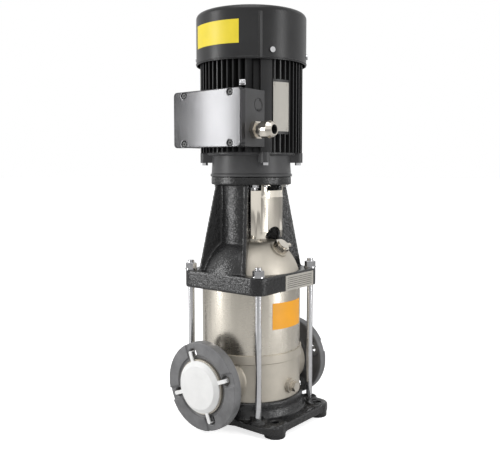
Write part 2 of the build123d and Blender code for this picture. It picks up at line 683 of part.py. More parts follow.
def sleeve_o_ring():
    """Seal in the groove of the cover's skirt, against the sleeve."""
    skirt = skirt_radius()
    height = DOME_SKIRT_LOW + O_RING_RISE
    return ring(skirt + O_RING_PROUD, skirt - O_RING_DEPTH, height - O_RING_RADIUS,
                height + O_RING_RADIUS)


def skirt_radius():
    """Radius of the cover's straight skirt, which slides into the sleeve."""
    return SLEEVE_RADIUS - SLEEVE_WALL - SKIRT_GAP


def tie_bolts():
    top = STOOL_LOW + STOOL_PLATE_THICKNESS + WASHER_THICKNESS + NUT_HEIGHT + BOLT_PROUD
    low = BOLT_BOSS_TOP - BOLT_DEPTH
    return [drum(BOLT_RADIUS, low, top, x, y) for x, y in four_corners(BOLT_OFFSET, BOLT_OFFSET)]


def tie_bolt_washers():
    low = STOOL_LOW + STOOL_PLATE_THICKNESS
    return [ring(WASHER_RADIUS, BOLT_RADIUS + SLIP_GAP, low, low + WASHER_THICKNESS, x, y)
            for x, y in four_corners(BOLT_OFFSET, BOLT_OFFSET)]


def tie_bolt_nuts():
    low = STOOL_LOW + STOOL_PLATE_THICKNESS + WASHER_THICKNESS
    nut = hexagon(NUT_ACROSS_FLATS, NUT_HEIGHT)
    corner = NUT_ACROSS_FLATS / 2 / cos(radians(30))
    nut &= turned([(0, 0), (corner, 0), (corner, NUT_HEIGHT - NUT_CHAMFER_HEIGHT),
                   (corner - NUT_CHAMFER_WIDTH, NUT_HEIGHT), (0, NUT_HEIGHT)])
    nut -= drum(BOLT_RADIUS + SLIP_GAP, 0, NUT_HEIGHT)
    return [Pos(x, y, low) * nut for x, y in four_corners(BOLT_OFFSET, BOLT_OFFSET)]


# ---------------------------------------------------------------- stool, cover and seal

def vent_frame():
    """Plane on the dome whose Z axis is the vent's axis."""
    height = DOME_CENTRE_HEIGHT + sqrt(DOME_RADIUS ** 2 - VENT_CIRCLE ** 2)
    lean = degrees(asin(VENT_CIRCLE / DOME_RADIUS))
    return Location((0, -VENT_CIRCLE, height), (lean, 0, 0))


def pump_cover():
    skirt = skirt_radius()
    wall = DOME_WALL
    start = DOME_CENTRE_HEIGHT + sqrt(DOME_RADIUS ** 2 - skirt ** 2)
    rim = sphere_radius_at(DOME_RADIUS, DOME_FLAT_TOP)
    waist = DOME_RADIUS / sqrt(2)
    inner = DOME_RADIUS - wall
    inner_top = DOME_FLAT_TOP - wall
    inner_rim = sphere_radius_at(inner, inner_top)
    inner_start = DOME_CENTRE_HEIGHT + sqrt(inner ** 2 - (skirt - wall) ** 2)
    inner_waist = inner / sqrt(2)
    outline = [
        Line((skirt, DOME_SKIRT_LOW), (skirt, start)),
        ThreePointArc((skirt, start), (waist, DOME_CENTRE_HEIGHT + waist), (rim, DOME_FLAT_TOP)),
        Polyline((rim, DOME_FLAT_TOP), (SEAL_BORE_RADIUS, DOME_FLAT_TOP),
                 (SEAL_BORE_RADIUS, inner_top), (inner_rim, inner_top)),
        ThreePointArc((inner_rim, inner_top), (inner_waist, DOME_CENTRE_HEIGHT + inner_waist),
                      (skirt - wall, inner_start)),
        Polyline((skirt - wall, inner_start), (skirt - wall, DOME_SKIRT_LOW),
                 (skirt, DOME_SKIRT_LOW))]
    cover = revolve(Plane.XZ * make_face(outline), Axis.Z)
    boss = vent_frame() * drum(VENT_BOSS_RADIUS, -VENT_BOSS_DEPTH, VENT_BOSS_TOP)
    cover += boss - Pos(0, 0, DOME_CENTRE_HEIGHT) * Sphere(inner)
    cover -= vent_frame() * drum(VENT_STEM_RADIUS + SLIP_GAP, -2 * VENT_STEM_DEPTH,
                                 VENT_STEM_DEPTH)
    groove = DOME_SKIRT_LOW + O_RING_RISE
    half = O_RING_RADIUS + SLIP_GAP
    return cover - ring(skirt + WELD, skirt - O_RING_DEPTH - SLIP_GAP, groove - half, groove + half)


def motor_stool():
    plate_top = STOOL_LOW + STOOL_PLATE_THICKNESS
    plate = extrude(Pos(0, 0, STOOL_LOW) * RectangleRounded(
        2 * STOOL_HALF_WIDTH, 2 * STOOL_HALF_WIDTH, STOOL_CORNER_RADIUS), STOOL_PLATE_THICKNESS)
    plate = fillet(plate.edges().group_by(Axis.Z)[-1], STOOL_EDGE_RADIUS)
    dome_space = DOME_RADIUS + HOOD_GAP
    hood = Pos(0, 0, DOME_CENTRE_HEIGHT) * Sphere(dome_space + HOOD_WALL)
    hood &= drum(STOOL_HALF_WIDTH, plate_top - WELD, STOOL_FLANGE_LOW)
    bell = hood + drum(COLUMN_RADIUS, DOME_FLAT_TOP - COLUMN_ROOT, STOOL_FLANGE_LOW)
    for side in (0, 180):
        for angle in (side - GUSSET_ANGLE, side + GUSSET_ANGLE):
            outline = Polyline(
                (COLUMN_RADIUS - COLUMN_WALL, STOOL_FLANGE_LOW),
                (GUSSET_HEAD_RADIUS, STOOL_FLANGE_LOW), (GUSSET_FOOT_RADIUS, plate_top - WELD),
                (COLUMN_RADIUS - COLUMN_WALL, plate_top - WELD), close=True)
            gusset = extrude(Plane.XZ * make_face(outline), GUSSET_THICKNESS / 2, both=True)
            bell += Rot(0, 0, angle) * gusset
    keep = Part()
    shift = GUSSET_THICKNESS / 2 / sin(radians(GUSSET_ANGLE))
    spread = REACH * tan(radians(GUSSET_ANGLE))
    for side in (-1, 1):
        slice_outline = Polyline((-side * shift, 0), (side * (REACH - shift), spread),
                                 (side * (REACH - shift), -spread), close=True)
        keep += Pos(0, 0, plate_top - WELD) * extrude(make_face(slice_outline), REACH)
    bell &= keep
    flange = drum(STOOL_FLANGE_RADIUS, STOOL_FLANGE_LOW, MOTOR_LOW)
    stool = plate + bell + flange
    stool -= Pos(0, 0, DOME_CENTRE_HEIGHT) * Sphere(dome_space)
    stool -= drum(skirt_radius() + STOOL_BORE_GAP, STOOL_LOW, plate_top)
    stool -= drum(COLUMN_RADIUS - COLUMN_WALL, DOME_CENTRE_HEIGHT, STOOL_FLANGE_LOW)
    stool -= drum(SPIGOT_RADIUS + SLIP_GAP, STOOL_FLANGE_LOW, MOTOR_LOW)
    for x, y in four_corners(BOLT_OFFSET, BOLT_OFFSET):
        stool -= drum(BOLT_RADIUS + BOLT_CLEARANCE, STOOL_LOW, plate_top, x, y)
    for x, y in motor_bolt_places():
        stool -= drum(MOTOR_BOLT_RADIUS + MOTOR_BOLT_CLEARANCE, STOOL_FLANGE_LOW, MOTOR_LOW, x, y)
    return stool


def motor_bolt_places():
    return [around(MOTOR_BOLT_CIRCLE, angle) for angle in MOTOR_BOLT_ANGLES]


def motor_flange_bolts():
    bolts = []
    for x, y in motor_bolt_places():
        bolt = drum(MOTOR_BOLT_RADIUS, 0, STOOL_FLANGE_THICKNESS + MOTOR_BOLT_THREAD)
        bolt += Pos(0, 0, -MOTOR_BOLT_HEAD) * hexagon(MOTOR_BOLT_HEX, MOTOR_BOLT_HEAD)
        bolts.append(Pos(x, y, STOOL_FLANGE_LOW) * bolt)
    return bolts


def seal_gland():
    """Flanged ring on the dome's flat top that carries the seal's fixed seat."""
    gland = ring(SEAL_GLAND_RADIUS, PUMP_SHAFT_RADIUS + SEAL_GLAND_GAP, DOME_FLAT_TOP,
                 SEAL_GLAND_TOP)
    return gland + ring(SEAL_BORE_RADIUS - SLIP_GAP, SEAL_SEAT_RADIUS,
                        DOME_FLAT_TOP - SEAL_SPIGOT_DEPTH, DOME_FLAT_TOP)


def seal_seat():
    return ring(SEAL_SEAT_RADIUS - SLIP_GAP, PUMP_SHAFT_RADIUS + SEAL_SEAT_GAP,
                DOME_FLAT_TOP - SEAL_SEAT_DEPTH, DOME_FLAT_TOP)


def seal_ring():
    """Turning face of the shaft seal with its spring carrier, on the pump shaft."""
    face = DOME_FLAT_TOP - SEAL_SEAT_DEPTH - RUNNING_GAP
    carrier = face - SEAL_FACE_HEIGHT
    turning = ring(SEAL_FACE_RADIUS, PUMP_SHAFT_RADIUS, carrier, face)
    return turning + ring(SEAL_CARRIER_RADIUS, PUMP_SHAFT_RADIUS, carrier - SEAL_CARRIER_HEIGHT,
                          carrier)


# ---------------------------------------------------------------- coupling and guards

def coupling_half(side):
    body = ring(COUPLING_RADIUS, PUMP_SHAFT_RADIUS, COUPLING_LOW, SHAFT_JOINT)
    body += ring(COUPLING_RADIUS, MOTOR_SHAFT_RADIUS, SHAFT_JOINT, COUPLING_HIGH)
    gap = COUPLING_SPLIT / 2
    edge = COUPLING_RADIUS + WELD
    if side > 0:
        half = block(-edge, edge, gap, edge, COUPLING_LOW, COUPLING_HIGH)
    else:
        half = block(-edge, edge, -edge, -gap, COUPLING_LOW, COUPLING_HIGH)
    body &= half
    for x, z in coupling_screw_places():
        body -= y_drum(COUPLING_SCREW_RADIUS + SLIP_GAP, -edge, edge, x, z)
        body -= y_drum(COUPLING_POCKET_RADIUS, -edge, -COUPLING_SCREW_SEAT, x, z)
    return body


def coupling_screw_places():
    heights = (COUPLING_LOW + COUPLING_SCREW_INSET, COUPLING_HIGH - COUPLING_SCREW_INSET)
    return [(x, z) for x in (-COUPLING_SCREW_OFFSET, COUPLING_SCREW_OFFSET) for z in heights]


def coupling_screws():
    screws = []
    seat = COUPLING_SCREW_SEAT
    for x, z in coupling_screw_places():
        screw = y_drum(COUPLING_SCREW_RADIUS, -seat, seat + COUPLING_SCREW_GRIP, x, z)
        screw += y_drum(COUPLING_HEAD_RADIUS, -seat - COUPLING_HEAD_HEIGHT, -seat, x, z)
        screws.append(screw)
    return screws


def coupling_guard(side):
    """Curved sheet over one window, with in-turned edges and trimmed lower corners."""
    middle = 90 * side
    sheet = ring_sector(GUARD_RADIUS, GUARD_RADIUS - GUARD_SHEET, GUARD_LOW, GUARD_HIGH,
                        middle - GUARD_HALF_ANGLE, middle + GUARD_HALF_ANGLE)
    for turn in (-1, 1):
        angle = middle + turn * GUARD_HALF_ANGLE
        lip = block(GUARD_RADIUS - GUARD_LIP, GUARD_RADIUS - SLIP_GAP, -GUARD_SHEET / 2,
                    GUARD_SHEET / 2, GUARD_LOW, GUARD_HIGH)
        sheet += Rot(0, 0, angle - turn * GUARD_LIP_TURN) * lip
    for height in (GUARD_LOW + GUARD_EMBOSS_LOW, GUARD_HIGH - GUARD_EMBOSS_HIGH):
        sheet += ring_sector(GUARD_RADIUS + GUARD_EMBOSS_DEPTH, GUARD_RADIUS - SLIP_GAP, height,
                             height + GUARD_EMBOSS_HEIGHT, middle - GUARD_EMBOSS_HALF_ANGLE,
                             middle + GUARD_EMBOSS_HALF_ANGLE)
    for turn in (-1, 1):
        x, y = around(GUARD_RADIUS, middle + turn * GUARD_HALF_ANGLE)
        notch = Location((x, y, GUARD_LOW), (0, 90, middle + turn * GUARD_HALF_ANGLE))
        radius = GUARD_RELIEF_RADIUS if turn * side > 0 else GUARD_CORNER_RADIUS
        sheet -= notch * Cylinder(radius, GUARD_RELIEF_DEPTH)
    return sheet + guard_tabs(side)


def guard_tab_angles(side):
    return 90 * side - GUARD_TAB_ANGLE, 90 * side + GUARD_TAB_ANGLE


def guard_tabs(side):
    """Two strips that rise from the sheet and turn out under the stool's flange."""
    tabs = Part()
    for angle in guard_tab_angles(side):
        half = GUARD_TAB_HALF_WIDTH
        strip = block(GUARD_RADIUS - GUARD_SHEET, GUARD_RADIUS, -half, half,
                      GUARD_HIGH - GUARD_TAB_ROOT, STOOL_FLANGE_LOW)
        strip += block(GUARD_RADIUS - GUARD_SHEET, GUARD_RADIUS + GUARD_TAB_REACH, -half, half,
                       STOOL_FLANGE_LOW - GUARD_SHEET, STOOL_FLANGE_LOW)
        tabs += Rot(0, 0, angle) * strip
    return tabs


def guard_screws():
    screws = []
    for side in (-1, 1):
        for angle in guard_tab_angles(side):
            x, y = around(GUARD_RADIUS + GUARD_SCREW_OFFSET, angle)
            head_top = STOOL_FLANGE_LOW - GUARD_SHEET
            screws.append(drum(GUARD_SCREW_RADIUS, head_top - GUARD_SCREW_HEAD, head_top, x, y))
    return screws


# ---------------------------------------------------------------- rotating pump parts

def pump_shaft():
    return drum(PUMP_SHAFT_RADIUS, PUMP_SHAFT_LOW, SHAFT_JOINT)


def blade_outline(hub, tip, thickness, sweep):
    """Plan of one backward-curved blade from the hub circle to the tip circle."""
    def point(radius, angle, side):
        x, y = around(radius, angle)
        ax, ay = around(thickness / 2, angle + BLADE_LEAN)
        return x + side * ax, y + side * ay
    stations = ((hub, 0), ((hub + tip) / 2, -sweep * BLADE_BOW), (tip, -sweep))
    front = [point(radius, angle, 1) for radius, angle in stations]
    back = [point(radius, angle, -1) for radius, angle in stations]
    return make_face([ThreePointArc(*front), Line(front[2], back[2]),
                      ThreePointArc(back[2], back[1], back[0]), Line(back[0], front[0])])


def impeller(number):
    low = CUP_TOP + number * STAGE_PITCH + IMPELLER_LIFT
    top = low + IMPELLER_WIDTH
    bore = PUMP_SHAFT_RADIUS
    wheel = ring(IMPELLER_RADIUS, IMPELLER_EYE_RADIUS, low, low + IMPELLER_SHROUD)
    wheel += ring(IMPELLER_EYE_RADIUS + IMPELLER_EYE_WALL, IMPELLER_EYE_RADIUS,
                  low - IMPELLER_EYE_HEIGHT, low)
    wheel += ring(IMPELLER_RADIUS, bore, top - IMPELLER_SHROUD, top)
    wheel += ring(IMPELLER_HUB_RADIUS, bore, low, top + IMPELLER_HUB_RISE)
    blade = extrude(Pos(0, 0, low) * blade_outline(
        IMPELLER_EYE_RADIUS - BLADE_ROOT_INSET, IMPELLER_RADIUS - BLADE_TIP_INSET,
        BLADE_THICKNESS, BLADE_SWEEP), IMPELLER_WIDTH)
    for count in range(BLADES):
        wheel += Rot(0, 0, count * 360 / BLADES) * blade
    return wheel


def stage_chamber(number):
    low = CUP_TOP + number * STAGE_PITCH
    top = low + STAGE_PITCH
    cup = ring(STAGE_RADIUS, STAGE_RADIUS - STAGE_WALL, low, top)
    cup += ring(STAGE_RADIUS, STAGE_EYE_RADIUS + STAGE_ROOF_GAP, top - STAGE_ROOF, top)
    vane_low = low + IMPELLER_LIFT + IMPELLER_WIDTH + DECK_LIFT
    deck = ring(DECK_RADIUS, STAGE_EYE_RADIUS, vane_low, vane_low + DECK_THICKNESS)
    vane = Rot(0, 0, 180) * extrude(Pos(0, 0, vane_low) * blade_outline(
        VANE_ROOT, VANE_TIP, VANE_THICKNESS, VANE_SWEEP), top - vane_low - STAGE_ROOF / 2)
    for count in range(BLADES + 1):
        deck += Rot(0, 0, count * 360 / (BLADES + 1)) * vane
    return cup + deck


def shaft_bushes():
    """Bearing bush of each stage, with spokes out to the stage's deck."""
    bushes = []
    for number in range(STAGES):
        low = CUP_TOP + number * STAGE_PITCH + IMPELLER_LIFT + IMPELLER_WIDTH + BUSH_LIFT
        bush = ring(BUSH_RADIUS, PUMP_SHAFT_RADIUS + RUNNING_GAP, low, low + BUSH_HEIGHT)
        for count in range(BUSH_SPOKES):
            spoke = block(BUSH_RADIUS - WELD, STAGE_EYE_RADIUS + WELD, -SPOKE_HALF_WIDTH,
                          SPOKE_HALF_WIDTH, low, low + SPOKE_HEIGHT)
            bush += Rot(0, 0, count * 360 / BUSH_SPOKES) * spoke
        bush += ring(STAGE_EYE_RADIUS + BUSH_RING_WALL, STAGE_EYE_RADIUS, low, low + SPOKE_HEIGHT)
        bushes.append(bush)
    return bushes


def stack_straps():
    """Four strips that clamp the stages on the cup."""
    straps = []
    top = CUP_TOP + STAGES * STAGE_PITCH
    for angle in (0, 90, 180, 270):
        strap = block(STAGE_RADIUS, STAGE_RADIUS + STRAP_THICKNESS, -STRAP_WIDTH / 2,
                      STRAP_WIDTH / 2, CUP_TOP - CUP_ROOF, top + STRAP_THICKNESS)
        strap += block(STAGE_RADIUS - STRAP_HOOK, STAGE_RADIUS + STRAP_THICKNESS, -STRAP_WIDTH / 2,
                       STRAP_WIDTH / 2, top, top + STRAP_THICKNESS)
        strap += block(CUP_RADIUS, STAGE_RADIUS + STRAP_THICKNESS, -STRAP_WIDTH / 2,
                       STRAP_WIDTH / 2, CUP_TOP - CUP_ROOF, CUP_TOP)
        straps.append(Rot(0, 0, 45 + angle) * strap)
    return straps


# ---------------------------------------------------------------- motor

def drive_end_shield():
    foot = SHIELD_LOW_RADIUS + SHIELD_FLANGE_PROUD
    foot_top = MOTOR_LOW + SHIELD_FLANGE_HEIGHT
    shell = turned([
        (0, MOTOR_LOW - SPIGOT_HEIGHT), (SPIGOT_RADIUS, MOTOR_LOW - SPIGOT_HEIGHT),
        (SPIGOT_RADIUS, MOTOR_LOW), (foot, MOTOR_LOW), (foot, foot_top),
        (SHIELD_LOW_RADIUS, foot_top + SHIELD_STEP),
        (SHIELD_HIGH_RADIUS, SHIELD_TOP - SHIELD_NECK_DEPTH),
        (FRAME_BODY_RADIUS, SHIELD_TOP - SHIELD_RIM),
        (FRAME_BODY_RADIUS, SHIELD_TOP), (0, SHIELD_TOP)])
    floor = MOTOR_LOW + SHIELD_FLOOR
    inner = SHIELD_HIGH_RADIUS - SHIELD_WALL
    hub = BEARING_RADIUS + BEARING_HUB_WALL
    seat = floor - BEARING_SEAT_DEPTH
    shell -= ring(inner, hub, floor, SHIELD_TOP)
    shell -= drum(BEARING_RADIUS, seat, SHIELD_TOP)
    shell -= drum(MOTOR_SHAFT_RADIUS + SHAFT_HOLE_GAP, MOTOR_LOW - SPIGOT_HEIGHT, SHIELD_TOP)
    shell -= drum(hub + WELD, seat + BEARING_WIDTH + BEARING_HUB_RISE, SHIELD_TOP)
    for angle in ear_angles():
        ear = drum(EAR_RADIUS, EAR_LOW, SHIELD_TOP, EAR_CIRCLE, 0)
        ear += block(SHIELD_HIGH_RADIUS - EAR_ROOT, EAR_CIRCLE, -EAR_RADIUS, EAR_RADIUS, EAR_LOW,
                     SHIELD_TOP)
        shell += Rot(0, 0, angle) * ear
        x, y = around(EAR_CIRCLE, angle)
        shell -= drum(THROUGH_BOLT_RADIUS + THROUGH_BOLT_CLEARANCE, EAR_LOW, SHIELD_TOP, x, y)
    for x, y in motor_bolt_places():
        shell -= drum(MOTOR_BOLT_RADIUS + SLIP_GAP, MOTOR_LOW, MOTOR_LOW + MOTOR_BOLT_THREAD + WELD,
                      x, y)
    return shell


def motor_frame():
    section = Circle(FRAME_BODY_RADIUS)
    fins = Sketch()
    side_reach = FIN_RADIUS * sin(radians(SIDE_FINS_END))
    face_reach = FIN_RADIUS * cos(radians(PAD_END))
    for turn, reach in ((0, side_reach), (180, side_reach), (90, face_reach), (270, face_reach)):
        count = int(reach // FIN_PITCH)
        for place in range(-count, count + 1):
            centre = place * FIN_PITCH
            fin = make_face(Polyline(
                (FRAME_BODY_RADIUS - FIN_DEPTH, centre - FIN_ROOT / 2),
                (FIN_RADIUS + FIN_TRIM, centre - FIN_TIP / 2),
                (FIN_RADIUS + FIN_TRIM, centre + FIN_TIP / 2),
                (FRAME_BODY_RADIUS - FIN_DEPTH, centre + FIN_ROOT / 2), close=True))
            fins += Rot(0, 0, turn) * fin
    section += fins & Circle(FIN_RADIUS)
    for middle in ear_angles():
        half = (PAD_END - PAD_START) / 2
        pad = make_face(Polyline(
            (0, 0), around(2 * PAD_RADIUS, middle - half), around(2 * PAD_RADIUS, middle + half),
            close=True)) & Circle(PAD_RADIUS)
        section += pad
    section -= Circle(FRAME_BORE_RADIUS)
    frame = extrude(Pos(0, 0, SHIELD_TOP) * section, FRAME_TOP - SHIELD_TOP)
    frame += ring_sector(FIN_RADIUS, FRAME_BODY_RADIUS - WELD, NAMEPLATE_LOW - NAMEPLATE_SEAT,
                         NAMEPLATE_HIGH + NAMEPLATE_SEAT, NAMEPLATE_START, NAMEPLATE_END)
    pedestal = block(-BOX_SEAT, PEDESTAL_ROOT - FRAME_BODY_RADIUS, -PEDESTAL_HALF, PEDESTAL_HALF,
                     BOX_CENTRE_HEIGHT - PEDESTAL_HALF, BOX_CENTRE_HEIGHT + PEDESTAL_HALF)
    pedestal -= x_drum(CABLE_HOLE_RADIUS, -BOX_SEAT, 0, 0, BOX_CENTRE_HEIGHT)
    frame += pedestal
    frame -= x_drum(CABLE_HOLE_RADIUS, -BOX_SEAT, CABLE_HOLE_PAST - FRAME_BORE_RADIUS, 0,
                    BOX_CENTRE_HEIGHT)
    for angle in ear_angles():
        x, y = around(EAR_CIRCLE, angle)
        frame -= drum(THROUGH_BOLT_RADIUS + THROUGH_BOLT_CLEARANCE, SHIELD_TOP, FRAME_TOP, x, y)
    return frame


def stator_core():
    core = ring(FRAME_BORE_RADIUS - SLIP_GAP, ROTOR_RADIUS + STATOR_BORE_GAP, ROTOR_LOW, ROTOR_HIGH)
    for count in range(STATOR_SLOTS):
        slot = block(ROTOR_RADIUS + SLOT_START, ROTOR_RADIUS + SLOT_END, -SLOT_HALF_WIDTH,
                     SLOT_HALF_WIDTH, ROTOR_LOW, ROTOR_HIGH)
        slot += block(ROTOR_RADIUS, ROTOR_RADIUS + SLOT_START + WELD, -SLOT_MOUTH_HALF_WIDTH,
                      SLOT_MOUTH_HALF_WIDTH, ROTOR_LOW, ROTOR_HIGH)
        core -= Rot(0, 0, count * 360 / STATOR_SLOTS) * slot
    return core


def windings():
    """Coils in the stator slots, joined by an end turn above and below the core."""
    coils = Part()
    for low in (ROTOR_LOW - WINDING_REACH, ROTOR_HIGH):
        coils += ring(ROTOR_RADIUS + WINDING_RING_OUTER, ROTOR_RADIUS + WINDING_RING_INNER, low,
                      low + WINDING_REACH)
    for count in range(STATOR_SLOTS):
        bar = block(ROTOR_RADIUS + WINDING_START, ROTOR_RADIUS + WINDING_END, -WINDING_HALF_WIDTH,
                    WINDING_HALF_WIDTH, ROTOR_LOW - WELD, ROTOR_HIGH + WELD)
        coils += Rot(0, 0, count * 360 / STATOR_SLOTS) * bar
    return coils


def rotor_core():
    core = ring(ROTOR_RADIUS, MOTOR_SHAFT_RADIUS + SHAFT_SHOULDER, ROTOR_LOW, ROTOR_HIGH)
    end_ring = ROTOR_RADIUS - ROTOR_RING_INSET
    return core + ring(end_ring, end_ring - ROTOR_RING_WIDTH, ROTOR_LOW - ROTOR_RING_REACH,
                       ROTOR_HIGH + ROTOR_RING_REACH)


def motor_shaft():
    shaft = drum(MOTOR_SHAFT_RADIUS, SHAFT_JOINT, SHAFT_TOP)
    shaft += drum(MOTOR_SHAFT_RADIUS + SHAFT_SHOULDER,
                  MOTOR_LOW + SHIELD_FLOOR - BEARING_SEAT_DEPTH + BEARING_WIDTH,
                  FRAME_TOP - FAN_BEARING_DROP)
    return shaft


def bearing(low, high):
    return ring(BEARING_RADIUS - RUNNING_GAP, MOTOR_SHAFT_RADIUS + RUNNING_GAP, low, high)


def ball_bearings():
    """One bearing in each end shield."""
    lower = MOTOR_LOW + SHIELD_FLOOR - BEARING_SEAT_DEPTH
    upper = FRAME_TOP - FAN_BEARING_DROP
    return [bearing(lower, lower + BEARING_WIDTH - BEARING_END_GAP),
            bearing(upper + BEARING_END_GAP, upper + BEARING_WIDTH - BEARING_END_GAP)]


def fan_end_shield():
    shield = turned([
        (0, FRAME_TOP), (FAN_SHIELD_RADIUS, FRAME_TOP),
        (FAN_SHIELD_RADIUS, FAN_SHIELD_TOP - FAN_SHIELD_SLOPE),
        (FAN_SHIELD_RADIUS - FAN_SHIELD_BEVEL, FAN_SHIELD_TOP), (0, FAN_SHIELD_TOP)])
    hub_low = FRAME_TOP - FAN_HUB_DROP
    shield += drum(BEARING_RADIUS + FAN_HUB_WALL, hub_low, FRAME_TOP)
    shield -= drum(BEARING_RADIUS, hub_low, FRAME_TOP - FAN_BEARING_DROP + BEARING_WIDTH)
    shield -= drum(MOTOR_SHAFT_RADIUS + SHAFT_HOLE_GAP, FRAME_TOP, FAN_SHIELD_TOP)
    for angle in ear_angles():
        x, y = around(EAR_CIRCLE, angle)
        shield -= drum(THROUGH_BOLT_RADIUS + THROUGH_BOLT_CLEARANCE, FRAME_TOP, FAN_SHIELD_TOP, x, y)
    for angle in cover_screw_angles():
        hole = x_drum(COVER_SCREW_RADIUS + SLIP_GAP, FAN_SHIELD_RADIUS - COVER_SCREW_DEPTH,
                      FAN_SHIELD_RADIUS, 0, COVER_SCREW_HEIGHT)
        shield -= Rot(0, 0, angle) * hole
    return shield


def through_bolts():
    bolts = []
    for angle in ear_angles():
        x, y = around(EAR_CIRCLE, angle)
        bolt = drum(THROUGH_BOLT_RADIUS, EAR_LOW, FRAME_TOP + THROUGH_BOLT_END, x, y)
        bolt += Pos(x, y, EAR_LOW - THROUGH_BOLT_HEAD) * hexagon(THROUGH_BOLT_HEX,
                                                                 THROUGH_BOLT_HEAD)
        bolts.append(bolt)
    return bolts


def cooling_fan():
    fan = ring(FAN_HUB_RADIUS, MOTOR_SHAFT_RADIUS, FAN_LOW, FAN_LOW + FAN_HEIGHT - FAN_HUB_INSET)
    fan += ring(FAN_DISC_RADIUS, MOTOR_SHAFT_RADIUS, FAN_LOW, FAN_LOW + FAN_DISC_THICKNESS)
    for count in range(FAN_BLADES):
        blade = block(FAN_HUB_RADIUS - FAN_BLADE_ROOT, FAN_RADIUS, -FAN_BLADE_HALF,
                      FAN_BLADE_HALF, FAN_LOW, FAN_LOW + FAN_HEIGHT)
        fan += Rot(0, 0, count * 360 / FAN_BLADES) * blade
    return fan


def fan_cover():
    shell = drum(COVER_RADIUS, COVER_LOW, COVER_TOP)
    shell = fillet(shell.edges().group_by(Axis.Z)[-1], COVER_EDGE_RADIUS)
    inside = drum(COVER_RADIUS - COVER_SHEET, COVER_LOW, COVER_TOP - COVER_SHEET)
    shell -= fillet(inside.edges().group_by(Axis.Z)[-1], COVER_EDGE_RADIUS - COVER_SHEET)
    for middle, count in GRILLE_RINGS:
        slot = block(middle - GRILLE_SLOT_LENGTH / 2, middle + GRILLE_SLOT_LENGTH / 2,
                     -GRILLE_SLOT_WIDTH / 2, GRILLE_SLOT_WIDTH / 2,
                     COVER_TOP - COVER_SHEET, COVER_TOP)
        for place in range(count):
            shell -= Rot(0, 0, place * 360 / count) * slot
    for angle in cover_screw_angles():
        dimple = x_drum(COVER_SPACER_RADIUS, FAN_SHIELD_RADIUS, COVER_RADIUS - COVER_SHEET / 2,
                        0, COVER_SCREW_HEIGHT)
        hole = x_drum(COVER_SCREW_RADIUS + SLIP_GAP, FAN_SHIELD_RADIUS, COVER_RADIUS + WELD,
                      0, COVER_SCREW_HEIGHT)
        shell = shell + Rot(0, 0, angle) * dimple - Rot(0, 0, angle) * hole
    return shell


def cover_screw_angles():
    return (COVER_SCREW_ANGLE, 180 - COVER_SCREW_ANGLE, 180 + COVER_SCREW_ANGLE,
            360 - COVER_SCREW_ANGLE)


def fan_cover_screws():
    screws = []
    for angle in cover_screw_angles():
        screw = x_drum(COVER_SCREW_RADIUS, FAN_SHIELD_RADIUS - COVER_SCREW_DEPTH,
                       COVER_RADIUS + COVER_SCREW_END, 0, COVER_SCREW_HEIGHT)
        screw += x_drum(2 * COVER_SCREW_RADIUS, COVER_RADIUS, COVER_RADIUS + COVER_SCREW_HEAD, 0,
                        COVER_SCREW_HEIGHT)
        screws.append(Rot(0, 0, angle) * screw)
    return screws


# ---------------------------------------------------------------- terminal box

def box_front():
    return LID_FACE + LID_DEPTH + GASKET_THICKNESS


def lid_screw_places():
    return [(y, BOX_CENTRE_HEIGHT + z) for y, z in four_corners(LID_SCREW_Y, LID_SCREW_Z)]


def terminal_box():
    low = BOX_CENTRE_HEIGHT - BOX_HALF_HEIGHT
    high = BOX_CENTRE_HEIGHT + BOX_HALF_HEIGHT
    body = block(box_front(), BOX_REAR, -BOX_HALF_WIDTH, BOX_HALF_WIDTH, low, high)
    body -= drum(FIN_RADIUS + BOX_FRAME_GAP, low, high)
    inner = BOX_HALF_WIDTH - BOX_WALL
    cavity = block(box_front(), BOX_REAR - BOX_WALL, -inner, inner, low + BOX_WALL, high - BOX_WALL)
    cavity -= drum(FIN_RADIUS + BOX_FRAME_GAP + BOX_FLOOR, low, high)
    for y, z in lid_screw_places():
        cavity -= x_drum(LID_POST_RADIUS, box_front(), BOX_REAR, y, z)
    body -= cavity
    half = PEDESTAL_HALF + PEDESTAL_GAP
    body -= block(-BOX_SEAT, BOX_REAR, -half, half, BOX_CENTRE_HEIGHT - half,
                  BOX_CENTRE_HEIGHT + half)
    body -= x_drum(CABLE_HOLE_RADIUS, box_front(), BOX_REAR, 0, BOX_CENTRE_HEIGHT)
    for y, z in lid_screw_places():
        body -= x_drum(LID_SCREW_RADIUS + SLIP_GAP, box_front(), box_front() + LID_THREAD_DEPTH, y, z)
    body -= y_drum(GLAND_THREAD_RADIUS + SLIP_GAP, -BOX_HALF_WIDTH, -inner, GLAND_X, GLAND_Z)
    knockout = y_drum(BLANK_RADIUS, -BOX_HALF_WIDTH, BLANK_DEPTH - BOX_HALF_WIDTH, BLANK_X, BLANK_Z)
    core = y_drum(BLANK_RADIUS - BLANK_GROOVE, -BOX_HALF_WIDTH, -inner, BLANK_X, BLANK_Z)
    return body - (knockout - core)


def lid_outline(half_width, half_height, radius):
    """Rounded rectangle in the plane of the lid, drawn about the box's centre."""
    plane = Plane((0, 0, BOX_CENTRE_HEIGHT), x_dir=(0, 1, 0), z_dir=(1, 0, 0))
    return plane * RectangleRounded(2 * half_width, 2 * half_height, radius)


